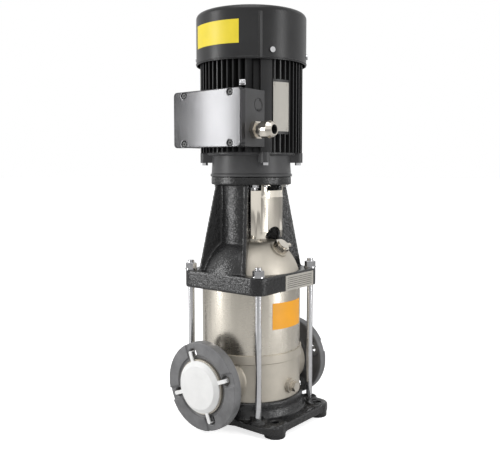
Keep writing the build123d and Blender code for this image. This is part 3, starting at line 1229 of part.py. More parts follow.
def terminal_box_lid():
    lid = Pos(LID_FACE, 0, 0) * extrude(
        lid_outline(LID_HALF_WIDTH, LID_HALF_HEIGHT, LID_CORNER_RADIUS), LID_DEPTH)
    inner = BOX_HALF_WIDTH - BOX_WALL
    inner_height = BOX_HALF_HEIGHT - BOX_WALL
    hollow = Pos(LID_FACE + LID_WALL, 0, 0) * extrude(
        lid_outline(inner, inner_height, LID_CORNER_RADIUS), LID_DEPTH)
    for y, z in lid_screw_places():
        hollow -= x_drum(LID_POST_RADIUS, LID_FACE, LID_FACE + 2 * LID_DEPTH, y, z)
    lid -= hollow
    for y, z in lid_screw_places():
        lid -= x_drum(LID_SCREW_RADIUS + SLIP_GAP, LID_FACE, LID_FACE + LID_DEPTH, y, z)
        lid -= x_drum(LID_SCREW_HEAD_RADIUS + LID_HEAD_GAP, LID_FACE, LID_FACE + LID_HEAD_DEPTH,
                      y, z)
    return lid


def lid_gasket():
    plane_shift = Pos(LID_FACE + LID_DEPTH, 0, 0)
    inner = BOX_HALF_WIDTH - BOX_WALL
    corner = GASKET_CORNER_RADIUS
    sheet = extrude(lid_outline(BOX_HALF_WIDTH, BOX_HALF_HEIGHT, corner), GASKET_THICKNESS)
    hollow = extrude(lid_outline(inner, BOX_HALF_HEIGHT - BOX_WALL, corner), GASKET_THICKNESS)
    for y, z in lid_screw_places():
        hollow -= x_drum(LID_POST_RADIUS, 0, GASKET_THICKNESS, y, z)
    sheet -= hollow
    for y, z in lid_screw_places():
        sheet -= x_drum(LID_SCREW_RADIUS + SLIP_GAP, 0, GASKET_THICKNESS, y, z)
    return plane_shift * sheet


def lid_screws():
    screws = []
    for y, z in lid_screw_places():
        seat, face = LID_FACE + LID_HEAD_DEPTH, LID_FACE + LID_HEAD_SUNK
        screw = x_drum(LID_SCREW_RADIUS, seat, box_front() + LID_SCREW_LENGTH, y, z)
        head = x_drum(LID_SCREW_HEAD_RADIUS, face, seat, y, z)
        socket = extrude(RegularPolygon(LID_SOCKET_RADIUS, 6), LID_SOCKET_DEPTH)
        head -= Location((face, y, z), (0, 90, 0)) * socket
        screws.append(screw + head)
    return screws


def terminal_block():
    seat = -(FIN_RADIUS + BOX_FRAME_GAP + BOX_FLOOR)
    face = seat - BLOCK_DEPTH
    low, high = BOX_CENTRE_HEIGHT - BLOCK_HALF_HEIGHT, BOX_CENTRE_HEIGHT + BLOCK_HALF_HEIGHT
    body = block(face, seat, -BLOCK_HALF_WIDTH, BLOCK_HALF_WIDTH, low, high)
    body -= drum(-seat, low, high)
    for y in (-STUD_SPACING, 0, STUD_SPACING):
        for z in (-STUD_ROW, STUD_ROW):
            body += x_drum(STUD_RADIUS, face - STUD_LENGTH, face, y, BOX_CENTRE_HEIGHT + z)
    return body


def gland_body():
    side = -BOX_HALF_WIDTH
    inside = side + BOX_WALL + LOCK_NUT_THICKNESS
    body = y_drum(GLAND_THREAD_RADIUS, side - GLAND_REACH + GLAND_THREAD_INSET, inside, GLAND_X,
                  GLAND_Z)
    collar = Location((GLAND_X, side - GLAND_HEX_LENGTH, GLAND_Z), (-90, 0, 0)) * hexagon(
        GLAND_ACROSS_FLATS, GLAND_HEX_LENGTH)
    body += collar
    return body - y_drum(GLAND_THREAD_RADIUS - GLAND_BORE_WALL, side - GLAND_REACH, 0, GLAND_X,
                         GLAND_Z)


def gland_lock_nut():
    inner_side = -BOX_HALF_WIDTH + BOX_WALL
    nut = hexagon(LOCK_NUT_ACROSS_FLATS, LOCK_NUT_THICKNESS)
    nut -= drum(GLAND_THREAD_RADIUS + SLIP_GAP, 0, LOCK_NUT_THICKNESS)
    return Location((GLAND_X, inner_side, GLAND_Z), (-90, 0, 0)) * nut


def gland_nut():
    """Domed clamping nut with six flats near its root."""
    side = -BOX_HALF_WIDTH
    tip = GLAND_REACH
    root = tip - GLAND_NUT_LENGTH
    radius = GLAND_ACROSS_FLATS / 2 + GLAND_NUT_PROUD
    bore, mouth = GLAND_THREAD_RADIUS + SLIP_GAP, GLAND_HOLE_RADIUS + GLAND_LIP
    dome = [(radius - inset, tip - depth) for inset, depth in GLAND_DOME_STEPS]
    nut = turned([
        (bore, root), (radius, root), (radius, tip - GLAND_DOME_DEPTH), *dome, (mouth, tip),
        (mouth, tip - GLAND_LIP_DEPTH), (bore, tip - GLAND_LIP_DEPTH)])
    flats = hexagon(GLAND_ACROSS_FLATS - GLAND_NUT_FLAT, 2 * tip)
    upper = drum(GLAND_ACROSS_FLATS, tip - GLAND_DOME_DEPTH, tip)
    nut &= flats + upper
    return Location((GLAND_X, side, GLAND_Z), (90, 0, 0)) * nut


def gland_seal():
    root, tip = GLAND_REACH - GLAND_SEAL_LENGTH, GLAND_REACH - GLAND_SEAL_SUNK
    step = GLAND_REACH - GLAND_LIP_DEPTH
    outer = GLAND_THREAD_RADIUS - GLAND_BORE_WALL - GLAND_SEAL_GAP
    lip = GLAND_HOLE_RADIUS + GLAND_LIP - GLAND_SEAL_GAP
    seal = turned([(GLAND_HOLE_RADIUS, root), (outer, root), (outer, step), (lip, step),
                   (lip, tip), (GLAND_HOLE_RADIUS, tip)])
    return Location((GLAND_X, -BOX_HALF_WIDTH, GLAND_Z), (90, 0, 0)) * seal


# ---------------------------------------------------------------- vent, drain and plates

def air_vent_body():
    collar = VENT_BOSS_TOP + VENT_COLLAR_HEIGHT
    cap = VENT_BOSS_TOP + VENT_HEAD_HEIGHT
    arm = VENT_HEAD_RADIUS + VENT_ARM_REACH
    body = drum(VENT_STEM_RADIUS, -VENT_STEM_DEPTH, VENT_BOSS_TOP)
    body += drum(VENT_HEAD_RADIUS, VENT_BOSS_TOP, collar)
    body += Pos(0, 0, collar) * hexagon(2 * VENT_HEAD_RADIUS - VENT_FLAT_INSET, cap - collar)
    body += drum(VENT_HEAD_RADIUS - VENT_CAP_INSET, cap, cap + VENT_CAP_HEIGHT)
    body += x_drum(VENT_ARM_RADIUS, 0, arm, 0, VENT_ARM_HEIGHT)
    body -= drum(VENT_BORE_RADIUS, -VENT_STEM_DEPTH, VENT_ARM_HEIGHT + WELD)
    body -= x_drum(VENT_SCREW_RADIUS + RUNNING_GAP, VENT_SCREW_START, arm, 0, VENT_ARM_HEIGHT)
    return vent_frame() * body


def air_vent_screw():
    face = VENT_HEAD_RADIUS + VENT_ARM_REACH + ASSEMBLY_GAP
    end, half = face + VENT_SCREW_HEAD, VENT_SLOT_HALF_WIDTH
    screw = x_drum(VENT_SCREW_RADIUS, VENT_SCREW_TIP, face, 0, VENT_ARM_HEIGHT)
    screw += x_drum(VENT_SCREW_HEAD_RADIUS, face, end, 0, VENT_ARM_HEIGHT)
    slot = block(end - VENT_SLOT_DEPTH, end, -half, half, 0, 2 * VENT_ARM_HEIGHT)
    return vent_frame() * (screw - slot)


def drain_plug():
    face = DRAIN_BOSS_FACE + ASSEMBLY_GAP
    collar = face + DRAIN_COLLAR
    plug = y_drum(DRAIN_THREAD_RADIUS, -face, DRAIN_THREAD_LENGTH - face, DRAIN_X, DRAIN_Z)
    plug += y_drum(DRAIN_HEX / 2 + DRAIN_COLLAR_WIDTH, -collar, -face, DRAIN_X, DRAIN_Z)
    head = hexagon(DRAIN_HEX, DRAIN_HEAD)
    return plug + Location((DRAIN_X, -collar, DRAIN_Z), (90, 0, 0)) * head


def motor_nameplate():
    inner = FIN_RADIUS + PLATE_GAP
    return ring_sector(inner + PLATE_THICKNESS, inner, NAMEPLATE_LOW, NAMEPLATE_HIGH,
                       NAMEPLATE_START + NAMEPLATE_TRIM, NAMEPLATE_END - NAMEPLATE_TRIM)


def stool_nameplate():
    face = -STOOL_HALF_WIDTH
    low = STOOL_LOW + STOOL_PLATE_INSET
    return block(STOOL_PLATE_START, STOOL_PLATE_END, face - PLATE_THICKNESS, face, low,
                 low + STOOL_PLATE_HEIGHT)


def plate_rivets():
    face = -STOOL_HALF_WIDTH - PLATE_THICKNESS
    middle = STOOL_LOW + STOOL_PLATE_INSET + STOOL_PLATE_HEIGHT / 2
    rivets = [y_drum(RIVET_RADIUS, face - RIVET_HEIGHT, face, x, middle)
              for x in (STOOL_PLATE_START + STOOL_RIVET_INSET, STOOL_PLATE_END - STOOL_RIVET_INSET)]
    radius = FIN_RADIUS + PLATE_GAP + PLATE_THICKNESS
    inset, turn = NAMEPLATE_RIVET_INSET, NAMEPLATE_RIVET_ANGLE
    for height in (NAMEPLATE_LOW + inset, NAMEPLATE_HIGH - inset):
        for angle in (NAMEPLATE_START + turn, NAMEPLATE_END - turn):
            rivet = x_drum(RIVET_RADIUS, radius + RIVET_GAP, radius + RIVET_HEIGHT, 0, height)
            rivets.append(Rot(0, 0, angle) * rivet)
    return rivets


def fan_cover_label():
    inner = COVER_RADIUS + PLATE_GAP
    return ring_sector(inner + LABEL_THICKNESS, inner, COVER_LABEL_LOW, COVER_LABEL_HIGH,
                       COVER_LABEL_START, COVER_LABEL_END)


def sleeve_label():
    inner = SLEEVE_RADIUS + PLATE_GAP
    return ring_sector(inner + LABEL_THICKNESS, inner, SLEEVE_LABEL_LOW, SLEEVE_LABEL_HIGH,
                       SLEEVE_LABEL_START, SLEEVE_LABEL_END)


# ---------------------------------------------------------------- build and write

save("base_plate", base_plate())
save("pump_chamber", pump_chamber())
for side, port in ((-1, "suction"), (1, "discharge")):
    save(port + "_stub", port_stub(side))
    save(port + "_flange", port_flange(side))
    save(port + "_plug", port_plug(side))
save("outer_sleeve", outer_sleeve())
save("sleeve_o_ring", sleeve_o_ring())
save("tie_bolts", tie_bolts())
save("tie_bolt_washers", tie_bolt_washers())
save("tie_bolt_nuts", tie_bolt_nuts())
save("pump_cover", pump_cover())
save("motor_stool", motor_stool())
save("motor_flange_bolts", motor_flange_bolts())
save("seal_gland", seal_gland())
save("seal_seat", seal_seat())
save("seal_ring", seal_ring())
save("coupling_halves", [coupling_half(-1), coupling_half(1)])
save("coupling_screws", coupling_screws())
save("coupling_guards", [coupling_guard(-1), coupling_guard(1)])
save("guard_screws", guard_screws())
save("pump_shaft", pump_shaft())
for number in range(STAGES):
    save(f"impeller_{number + 1}", impeller(number))
    save(f"stage_chamber_{number + 1}", stage_chamber(number))
save("shaft_bushes", shaft_bushes())
save("stack_straps", stack_straps())
save("drive_end_shield", drive_end_shield())
save("motor_frame", motor_frame())
save("stator_core", stator_core())
save("windings", windings())
save("rotor_core", rotor_core())
save("motor_shaft", motor_shaft())
save("ball_bearings", ball_bearings())
save("fan_end_shield", fan_end_shield())
save("through_bolts", through_bolts())
save("cooling_fan", cooling_fan())
save("fan_cover", fan_cover())
save("fan_cover_screws", fan_cover_screws())
save("terminal_box", terminal_box())
save("terminal_box_lid", terminal_box_lid())
save("lid_gasket", lid_gasket())
save("lid_screws", lid_screws())
save("terminal_block", terminal_block())
save("gland_body", gland_body())
save("gland_nuts", [gland_lock_nut(), gland_nut()])
save("gland_seal", gland_seal())
save("air_vent_body", air_vent_body())
save("air_vent_screw", air_vent_screw())
save("drain_plug", drain_plug())
save("motor_nameplate", motor_nameplate())
save("stool_nameplate", stool_nameplate())
save("plate_rivets", plate_rivets())
save("fan_cover_label", fan_cover_label())
save("sleeve_label", sleeve_label())

for name, shape in nodes.items():
    solids = []
    for piece in shape if isinstance(shape, list) else [shape]:
        solids.extend(piece.solids())
    export_step(Compound(solids) if len(solids) > 1 else solids[0], f"parts/{name}.step")
print(len(nodes), "sub-parts written")
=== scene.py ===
import json
from math import cos, pi, radians, sin

import bpy
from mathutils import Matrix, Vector


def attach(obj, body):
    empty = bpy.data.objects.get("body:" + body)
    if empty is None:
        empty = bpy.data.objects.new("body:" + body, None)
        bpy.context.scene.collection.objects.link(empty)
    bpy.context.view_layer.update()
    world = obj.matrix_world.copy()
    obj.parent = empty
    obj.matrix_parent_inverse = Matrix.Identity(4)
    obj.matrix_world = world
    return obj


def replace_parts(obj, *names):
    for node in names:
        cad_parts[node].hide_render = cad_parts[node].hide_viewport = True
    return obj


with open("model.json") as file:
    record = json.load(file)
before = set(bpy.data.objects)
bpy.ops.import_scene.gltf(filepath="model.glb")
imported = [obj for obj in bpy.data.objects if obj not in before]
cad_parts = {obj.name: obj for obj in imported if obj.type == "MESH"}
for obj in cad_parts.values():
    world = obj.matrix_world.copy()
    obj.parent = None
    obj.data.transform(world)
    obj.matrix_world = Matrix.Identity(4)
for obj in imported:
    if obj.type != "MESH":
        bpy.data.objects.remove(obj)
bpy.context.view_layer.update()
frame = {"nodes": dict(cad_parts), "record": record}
NODES = frame["nodes"]

bl_info = {
    "name": "Vertical multistage pump",
    "version": (1, 0, 0),
    "blender": (4, 5, 0),
    "location": "View3D > Sidebar > Pump",
    "description": "Castings, trim, finishes and studio of a vertical multistage pump",
    "category": "Object",
}

# ---------------------------------------------------------------- sizes and colours


def length(name, description, default):
    return bpy.props.FloatProperty(
        name=name, description=description, default=default, unit="LENGTH"
    )


def colour(name, description, default):
    return bpy.props.FloatVectorProperty(
        name=name, description=description, default=default, size=3, min=0, max=1,
        subtype="COLOR",
    )


class PumpTrim(bpy.types.PropertyGroup):
    """Sizes of the castings' surface and of the trim."""

    stool_grain: length(
        "Stool voxel", "Size of the mesh that rounds the stool's edges", 0.0018
    )
    base_grain: length(
        "Base voxel", "Size of the mesh that rounds the base's edges", 0.0018
    )
    flange_grain: length(
        "Flange voxel", "Size of the mesh that rounds the flanges' edges", 0.0012
    )
    lid_grain: length(
        "Lid voxel", "Size of the mesh that rounds the lid's edges", 0.0010
    )
    rounding: bpy.props.IntProperty(
        name="Rounding", description="Smoothing passes over the stool and the base",
        default=2, min=0, max=30,
    )
    seam_width: length("Seam width", "Width of the lap joint on the fan cover", 0.0042)
    seam_height: length("Seam height", "How far the lap joint stands out", 0.0012)
    bead_radius: length(
        "Bead radius", "Radius of the bead round the fan cover's rim", 0.0014
    )
    lug_size: length("Lug size", "Side of the square earth lug", 0.011)
    relief_radius: length(
        "Relief radius", "Radius of the guard's cut over the air vent", 0.022
    )
    hook_width: length("Hook width", "Width of the plugs' hooks", 0.007)


class PumpColours(bpy.types.PropertyGroup):
    """Colours of the finishes."""

    cast_black: colour(
        "Cast black", "Gloss paint on the base, stool and coupling", (0.008, 0.008, 0.0083)
    )
    flange_grey: colour("Flange grey", "Paint on the port flanges", (0.105, 0.105, 0.107))
    charcoal: colour("Charcoal", "Powder coat on the motor", (0.015, 0.015, 0.0155))
    # Lighter copy of the motor's charcoal: painted light where the light falls on the drive-end
    # shield, the terminal box and the fan cover's lap
    shield_grey: colour(
        "Shield grey", "Paint on the drive-end shield and terminal box",
        (0.050, 0.050, 0.051),
    )
    lid_grey: colour("Lid grey", "Paint on the terminal box's lid", (0.036, 0.036, 0.038))
    sleeve: colour("Sleeve", "Rolled stainless sheet", (0.60, 0.56, 0.49))
    cast_steel: colour("Cast stainless", "Blasted stainless castings", (0.48, 0.445, 0.385))
    zinc: colour("Zinc", "Plated bolts and nuts", (0.55, 0.55, 0.56))
    nickel: colour("Nickel", "Plated gland and vent", (0.60, 0.56, 0.50))
    plug_white: colour("Plug white", "Plastic of the port plugs", (0.80, 0.80, 0.79))
    label_yellow: colour("Yellow label", "Blank label on the fan cover", (0.78, 0.62, 0.03))
    label_orange: colour("Orange label", "Blank label on the sleeve", (0.88, 0.38, 0.010))
    plate: colour("Plate", "Blank metal plates", (0.42, 0.40, 0.36))


class PumpStudio(bpy.types.PropertyGroup):
    """Camera, lamps and floor."""

    camera_place: bpy.props.FloatVectorProperty(
        name="Camera", description="Place of the camera",
        default=(-1.0300, -0.8267, 0.4912), unit="LENGTH",
    )
    camera_heading: bpy.props.FloatProperty(
        name="Heading", description="Direction of view from X", default=radians(38.86),
        subtype="ANGLE",
    )
    camera_dip: bpy.props.FloatProperty(
        name="Dip", description="Angle of view below the horizon", default=radians(4.8),
        subtype="ANGLE",
    )
    lens: bpy.props.FloatProperty(
        name="Lens", description="Focal length in millimetres", default=48.11
    )
    sky: bpy.props.FloatProperty(
        name="Sky", description="Strength of the soft light all round", default=0.38
    )
    floor_colour: colour("Floor", "Colour of the floor", (0.80, 0.80, 0.80))
    floor_glow: bpy.props.FloatProperty(
        name="Floor glow", description="How far the floor is whitened for the camera",
        default=0.75,
    )


# ---------------------------------------------------------------- shader maths

NOISE_MIDDLE = 0.5
# The Mix node's sockets when it mixes colours
MIX_SHARE, MIX_FIRST, MIX_SECOND, MIX_RESULT = 0, 6, 7, 2


class Value:
    """A number that varies over a surface, so that shader maths reads as an expression."""

    def __init__(self, finish, socket):
        self.finish, self.socket = finish, socket

    def maths(self, operation, *others):
        numbers = dict(enumerate((self, *others)))
        node = self.finish.node("ShaderNodeMath", {"operation": operation}, numbers)
        return Value(self.finish, node.outputs[0])

    def __add__(self, other):
        return self.maths("ADD", other)

    def __sub__(self, other):
        return self.maths("SUBTRACT", other)

    def __mul__(self, other):
        return self.maths("MULTIPLY", other)

    def clipped(self):
        """The same value kept between 0 and 1."""
        clamp = self.finish.node("ShaderNodeClamp", {}, {"Value": self})
        return Value(self.finish, clamp.outputs[0])

    def spread(self, low, high, contrast=2.0):
        """Noise about its middle stretched to run from low to high."""
        stretched = (self - NOISE_MIDDLE) * contrast + NOISE_MIDDLE
        return stretched.clipped() * (high - low) + low

    def around(self, middle, below, above):
        """Noise stretched to run from so far below a number to so far above it."""
        return self.spread(middle - below, middle + above)


class Finish:
    """A material in the making, on Object coordinates."""

    def __init__(self, name, base, roughness, **constants):
        self.material = bpy.data.materials.new(name)
        self.material.use_nodes = True
        self.tree = self.material.node_tree
        self.shader = self.tree.nodes["Principled BSDF"]
        self.shader.inputs["Base Color"].default_value = (*base, 1)
        self.shader.inputs["Roughness"].default_value = roughness
        for socket, value in constants.items():
            self.shader.inputs[socket.replace("_", " ")].default_value = value
        self.place = self.node("ShaderNodeTexCoord").outputs["Object"]
        self.normal = None
        self.material.diffuse_color = (*base, 1)

    def node(self, kind, settings=None, inputs=None):
        made = self.tree.nodes.new(kind)
        for name, value in (settings or {}).items():
            setattr(made, name, value)
        for name, value in (inputs or {}).items():
            self.feed(made.inputs[name], value)
        return made

    def feed(self, socket, value):
        """Links a value to a socket, or writes a constant into it."""
        if isinstance(value, Value):
            value = value.socket
        if isinstance(value, bpy.types.NodeSocket):
            self.tree.links.new(value, socket)
        else:
            socket.default_value = value

    def noise(self, scale, detail=3.0, roughness=0.55, place=None, stretch=None):
        place = place or self.place
        if stretch:
            mapping = {"Vector": place, "Scale": stretch}
            place = self.node("ShaderNodeMapping", {}, mapping).outputs[0]
        inputs = {"Vector": place, "Scale": scale, "Detail": detail, "Roughness": roughness}
        return Value(self, self.node("ShaderNodeTexNoise", {}, inputs).outputs[0])

    def axes(self):
        split = self.node("ShaderNodeSeparateXYZ", {}, {"Vector": self.place})
        return [Value(self, socket) for socket in split.outputs]

    def round_axis(self, turns, rise):
        """Coordinates that run round the Z axis, so that a stretched pattern follows a drum."""
        x, y, z = self.axes()
        angle = y.maths("ARCTAN2", x)
        inputs = {"X": angle * turns, "Y": z * rise, "Z": 0.0}
        return self.node("ShaderNodeCombineXYZ", {}, inputs).outputs[0]

    def colour(self, first, second, share):
        """Colours the surface between two colours."""
        inputs = {MIX_SHARE: share, MIX_FIRST: (*first, 1), MIX_SECOND: (*second, 1)}
        mix = self.node("ShaderNodeMix", {"data_type": "RGBA"}, inputs)
        self.feed(self.shader.inputs["Base Color"], mix.outputs[MIX_RESULT])

    def rough(self, value):
        self.feed(self.shader.inputs["Roughness"], value)

    def bump(self, height, distance, strength):
        """Raises the surface by up to a distance in metres, on top of any bump before it."""
        inputs = {"Height": height, "Distance": distance, "Strength": strength}
        if self.normal:
            inputs["Normal"] = self.normal
        self.normal = self.node("ShaderNodeBump", {}, inputs).outputs["Normal"]
        self.feed(self.shader.inputs["Normal"], self.normal)


# ---------------------------------------------------------------- finishes

RUBBER = (0.02, 0.02, 0.02)
BLACK_PLASTIC = (0.006, 0.006, 0.006)
TERMINAL_CREAM = (0.72, 0.66, 0.5)
CARBIDE = (0.05, 0.05, 0.055)
COPPER = (0.62, 0.26, 0.12)
SHEET_EDGE = (0.32, 0.32, 0.33)
SHEETS_PER_METRE = 1400
BRIGHTER_SHEET = 1.18


def tinted(base, factor):
    return tuple(min(1.0, channel * factor) for channel in base)


def cast_paint(name, base, roughness, gloss, lump=0.0026, grain=0.0011):
    """Paint over a sand casting: broad lumps, orange peel, and patches of pale dust."""
    finish = Finish(name, base, roughness, Specular_IOR_Level=gloss)
    lumps = finish.noise(scale=110, detail=3)
    peel = finish.noise(scale=330, detail=4, roughness=0.6)
    dust = finish.noise(scale=28, detail=5, roughness=0.62)
    finish.colour(base, tinted(base, 1.9), dust.spread(0, 0.75, contrast=3))
    finish.rough(
        peel.around(roughness, below=0.06, above=0.08) + dust.spread(0, 0.06)
    )
    finish.bump(lumps, distance=lump, strength=0.45)
    finish.bump(peel, distance=grain, strength=0.6)
    return finish


def powder_coat(name, base, roughness):
    """Fine powder coat on pressed and die-cast motor parts."""
    finish = Finish(name, base, roughness, Specular_IOR_Level=0.28)
    fine = finish.noise(scale=900, detail=3, roughness=0.6)
    cloud = finish.noise(scale=16, detail=4)
    finish.colour(base, tinted(base, 1.45), cloud.spread(0, 1, contrast=2.4))
    finish.rough(
        cloud.around(roughness, below=0.05, above=0.07) + fine.spread(-0.03, 0.03)
    )
    finish.bump(fine, distance=0.00012, strength=0.8)
    return finish


def lid_paint(name, base):
    """Satin paint on a pressed lid, with faint rolling lines below it."""
    finish = Finish(name, base, roughness=0.16, Metallic=0.5)
    lines = finish.noise(scale=260, detail=2, roughness=0.5, stretch=(1, 1, 0.05))
    cloud = finish.noise(scale=20, detail=4)
    share = cloud.spread(0, 1) * 0.6 + lines.spread(0, 0.4)
    finish.colour(tinted(base, 0.8), tinted(base, 1.2), share)
    finish.rough(lines.spread(0.14, 0.17) + cloud.spread(-0.01, 0.03))
    finish.bump(lines, distance=0.00004, strength=0.5)
    return finish


def rolled_steel(name, base, roughness):
    """Rolled stainless sheet: fine lines round the drum, long soft bands, faint stains."""
    finish = Finish(name, base, roughness, Metallic=1.0, Anisotropic=0.45)
    drum = finish.round_axis(turns=0.7, rise=1.0)
    stretched_drum = finish.round_axis(turns=0.004, rise=1.0)
    lines = finish.noise(scale=1400, detail=2, roughness=0.6, place=stretched_drum)
    bands = finish.noise(scale=5, detail=3, roughness=0.5, place=drum)
    stains = finish.noise(scale=45, detail=5, roughness=0.65)
    share = bands.spread(0, 0.7) + stains.spread(0, 0.3)
    finish.colour(tinted(base, 0.84), tinted(base, 1.08), share)
    finish.rough(
        bands.around(roughness, below=0.04, above=0.06) + lines.spread(-0.03, 0.04)
    )
    finish.bump(lines, distance=0.00001, strength=0.3)
    return finish


def blasted_steel(name, base, roughness):
    """Bead-blasted stainless casting."""
    finish = Finish(name, base, roughness, Metallic=0.75)
    grain = finish.noise(scale=1100, detail=3, roughness=0.65)
    cloud = finish.noise(scale=18, detail=5, roughness=0.6)
    finish.colour(tinted(base, 0.82), tinted(base, 1.1), cloud.spread(0, 1))
    finish.rough(
        cloud.around(roughness, below=0.05, above=0.07) + grain.spread(-0.04, 0.04)
    )
    finish.bump(grain, distance=0.00010, strength=0.8)
    return finish


def plated(name, base, roughness):
    """Bright plating with handling marks and a fine change in gloss."""
    finish = Finish(name, base, roughness, Metallic=1.0)
    marks = finish.noise(scale=120, detail=3, roughness=0.5)
    fine = finish.noise(scale=300, detail=2)
    finish.colour(tinted(base, 0.92), tinted(base, 1.05), marks.spread(0, 1))
    finish.rough(
        marks.around(roughness, below=0.03, above=0.05) + fine.spread(-0.01, 0.01)
    )
    return finish


def moulded(name, base, roughness):
    """Moulded plastic or rubber with a faint sheen of flow marks."""
    finish = Finish(name, base, roughness)
    flow = finish.noise(scale=30, detail=4)
    fine = finish.noise(scale=800, detail=3)
    finish.colour(tinted(base, 0.93), tinted(base, 1.05), flow.spread(0, 1))
    finish.rough(flow.around(roughness, below=0.05, above=0.07))
    finish.bump(fine, distance=0.00005, strength=0.6)
    return finish


def vinyl(name, base):
    """Blank label."""
    finish = Finish(name, base, roughness=0.45)
    cloud = finish.noise(scale=40, detail=4)
    fine = finish.noise(scale=600, detail=2)
    finish.colour(tinted(base, 0.95), tinted(base, 1.04), cloud.spread(0, 1))
    finish.rough(cloud.spread(0.40, 0.52))
    finish.bump(cloud, distance=0.0002, strength=0.35)
    finish.bump(fine, distance=0.00002, strength=0.5)
    return finish


def laminations(name, base):
    """Edges of stacked sheets."""
    finish = Finish(name, base, roughness=0.4, Metallic=0.8)
    z = finish.axes()[2]
    edge = (z * SHEETS_PER_METRE).maths("FRACT")
    finish.colour(tinted(base, 0.6), tinted(base, 1.1), edge)
    finish.bump(edge, distance=0.0002, strength=0.6)
    return finish


def wound_wire(name, base):
    """Varnished copper wire."""
    finish = Finish(name, base, roughness=0.3, Metallic=0.7, Coat_Weight=0.6)
    drum = finish.round_axis(turns=0.02, rise=1.0)
    strands = finish.noise(scale=500, detail=2, place=drum)
    finish.colour(
        tinted(base, 0.6), tinted(base, 1.1), strands.spread(0, 1, contrast=3)
    )
    finish.bump(strands, distance=0.0003, strength=0.8)
    return finish


def make_finishes(paints):
    """One finish for each material slot of the record, and one more: a lighter copy of the
    motor's charcoal, as painted light on the drive-end shield, the terminal box and the fan
    cover's lap.
    """
    bright = tinted(paints.sleeve, BRIGHTER_SHEET)
    recipes = {
        "cast_iron_black": (cast_paint, paints.cast_black, {"roughness": 0.20, "gloss": 0.45}),
        "flange_grey": (
            cast_paint, paints.flange_grey,
            {"roughness": 0.36, "gloss": 0.4, "lump": 0.0006, "grain": 0.0002},
        ),
        "stainless": (rolled_steel, paints.sleeve, {"roughness": 0.25}),
        "stainless_bright": (rolled_steel, bright, {"roughness": 0.16}),
        "stainless_matte": (blasted_steel, paints.cast_steel, {"roughness": 0.50}),
        "zinc": (plated, paints.zinc, {"roughness": 0.20}),
        "nickel": (plated, paints.nickel, {"roughness": 0.20}),
        "plug_white": (moulded, paints.plug_white, {"roughness": 0.42}),
        "seal_rubber": (moulded, RUBBER, {"roughness": 0.6}),
        "black_plastic": (moulded, BLACK_PLASTIC, {"roughness": 0.4}),
        "terminal_cream": (moulded, TERMINAL_CREAM, {"roughness": 0.5}),
        "carbide": (moulded, CARBIDE, {"roughness": 0.25}),
        "motor_charcoal": (powder_coat, paints.charcoal, {"roughness": 0.36}),
        # Lighter copy of the charcoal, as painted light on the shield, the terminal box and the
        # fan cover's lap
        "shield_grey": (powder_coat, paints.shield_grey, {"roughness": 0.40}),
        "lid_grey": (lid_paint, paints.lid_grey, {}),
        "copper": (wound_wire, COPPER, {}),
        "laminations": (laminations, SHEET_EDGE, {}),
        "silver_plate": (moulded, paints.plate, {"roughness": 0.5}),
        "label_yellow": (vinyl, paints.label_yellow, {}),
        "label_orange": (vinyl, paints.label_orange, {}),
    }
    return {
        name: maker(name, base, **settings).material
        for name, (maker, base, settings) in recipes.items()
    }


# ---------------------------------------------------------------- shared shaping

MERGE_DISTANCE = 0.00002
SMOOTH_ANGLE = radians(35)
SMOOTH_FACTOR = 0.5
EDGE_STEPS = 3
TUBE_SIDES = 128


def deselect():
    if bpy.context.object and bpy.context.object.mode != "OBJECT":
        bpy.ops.object.mode_set(mode="OBJECT")
    bpy.ops.object.select_all(action="DESELECT")


def alone(piece):
    """Only this piece is selected and active, in object mode."""
    deselect()
    piece.select_set(True)
    bpy.context.view_layer.objects.active = piece


def edit(piece):
    """Enters edit mode with the whole mesh selected."""
    alone(piece)
    bpy.ops.object.mode_set(mode="EDIT")
    bpy.ops.mesh.select_all(action="SELECT")


def applied(piece):
    """Leaves edit mode and puts the piece's place, turn and scale into its mesh."""
    alone(piece)
    bpy.ops.object.transform_apply(location=True, rotation=True, scale=True)
    return piece


def primitive(kind, **settings):
    """One of Blender's own meshes, to start a piece from."""
    deselect()
    getattr(bpy.ops.mesh, f"primitive_{kind}_add")(**settings)
    return bpy.context.object


def modified(piece, kind, **settings):
    """Adds one modifier and applies it."""
    alone(piece)
    modifier = piece.modifiers.new(kind.title(), kind)
    for name, value in settings.items():
        setattr(modifier, name, value)
    bpy.ops.object.modifier_apply(modifier=modifier.name)
    return piece


def bevelled(piece, width, segments=EDGE_STEPS, **settings):
    """Rounds the sharp edges."""
    return modified(
        piece, "BEVEL", width=width, segments=segments, limit_method="ANGLE", **settings
    )


def smooth(piece):
    alone(piece)
    bpy.ops.object.shade_smooth_by_angle(angle=SMOOTH_ANGLE)
    return piece


def finished(piece, name, body, slot, finishes, finish=None):
    """Names a piece and lets it ride on its body, in its slot's finish or in one of its own."""
    piece.name = piece.data.name = name
    piece.data.materials.clear()
    piece.data.materials.append(finishes[finish or slot])
    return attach(piece, body)


def copied(node):
    """Copy of a CAD node's mesh, with its loose triangles joined."""
    piece = bpy.data.objects.new(node + "_copy", NODES[node].data.copy())
    bpy.context.scene.collection.objects.link(piece)
    edit(piece)
    bpy.ops.mesh.remove_doubles(threshold=MERGE_DISTANCE)
    bpy.ops.object.mode_set(mode="OBJECT")
    return piece


def joined(first, *others):
    """One mesh from several."""
    deselect()
    for piece in (first, *others):
        piece.select_set(True)
    bpy.context.view_layer.objects.active = first
    bpy.ops.object.join()
    return first


def tube(radius, wall, low, high):
    """Upright ring with its outside at the radius, about the pump's axis."""
    ring = applied(primitive(
        "cylinder", vertices=TUBE_SIDES, radius=radius, depth=high - low,
        end_fill_type="NOTHING", location=(0, 0, (low + high) / 2),
    ))
    return modified(ring, "SOLIDIFY", thickness=wall, offset=-1, use_even_offset=True)


def bar(place, turn, sizes, rounding):
    """Block with rounded edges: sizes along its own axes, then turned, then placed."""
    block = primitive("cube", size=1, location=place, rotation=turn)
    block.scale = sizes
    return bevelled(applied(block), rounding)


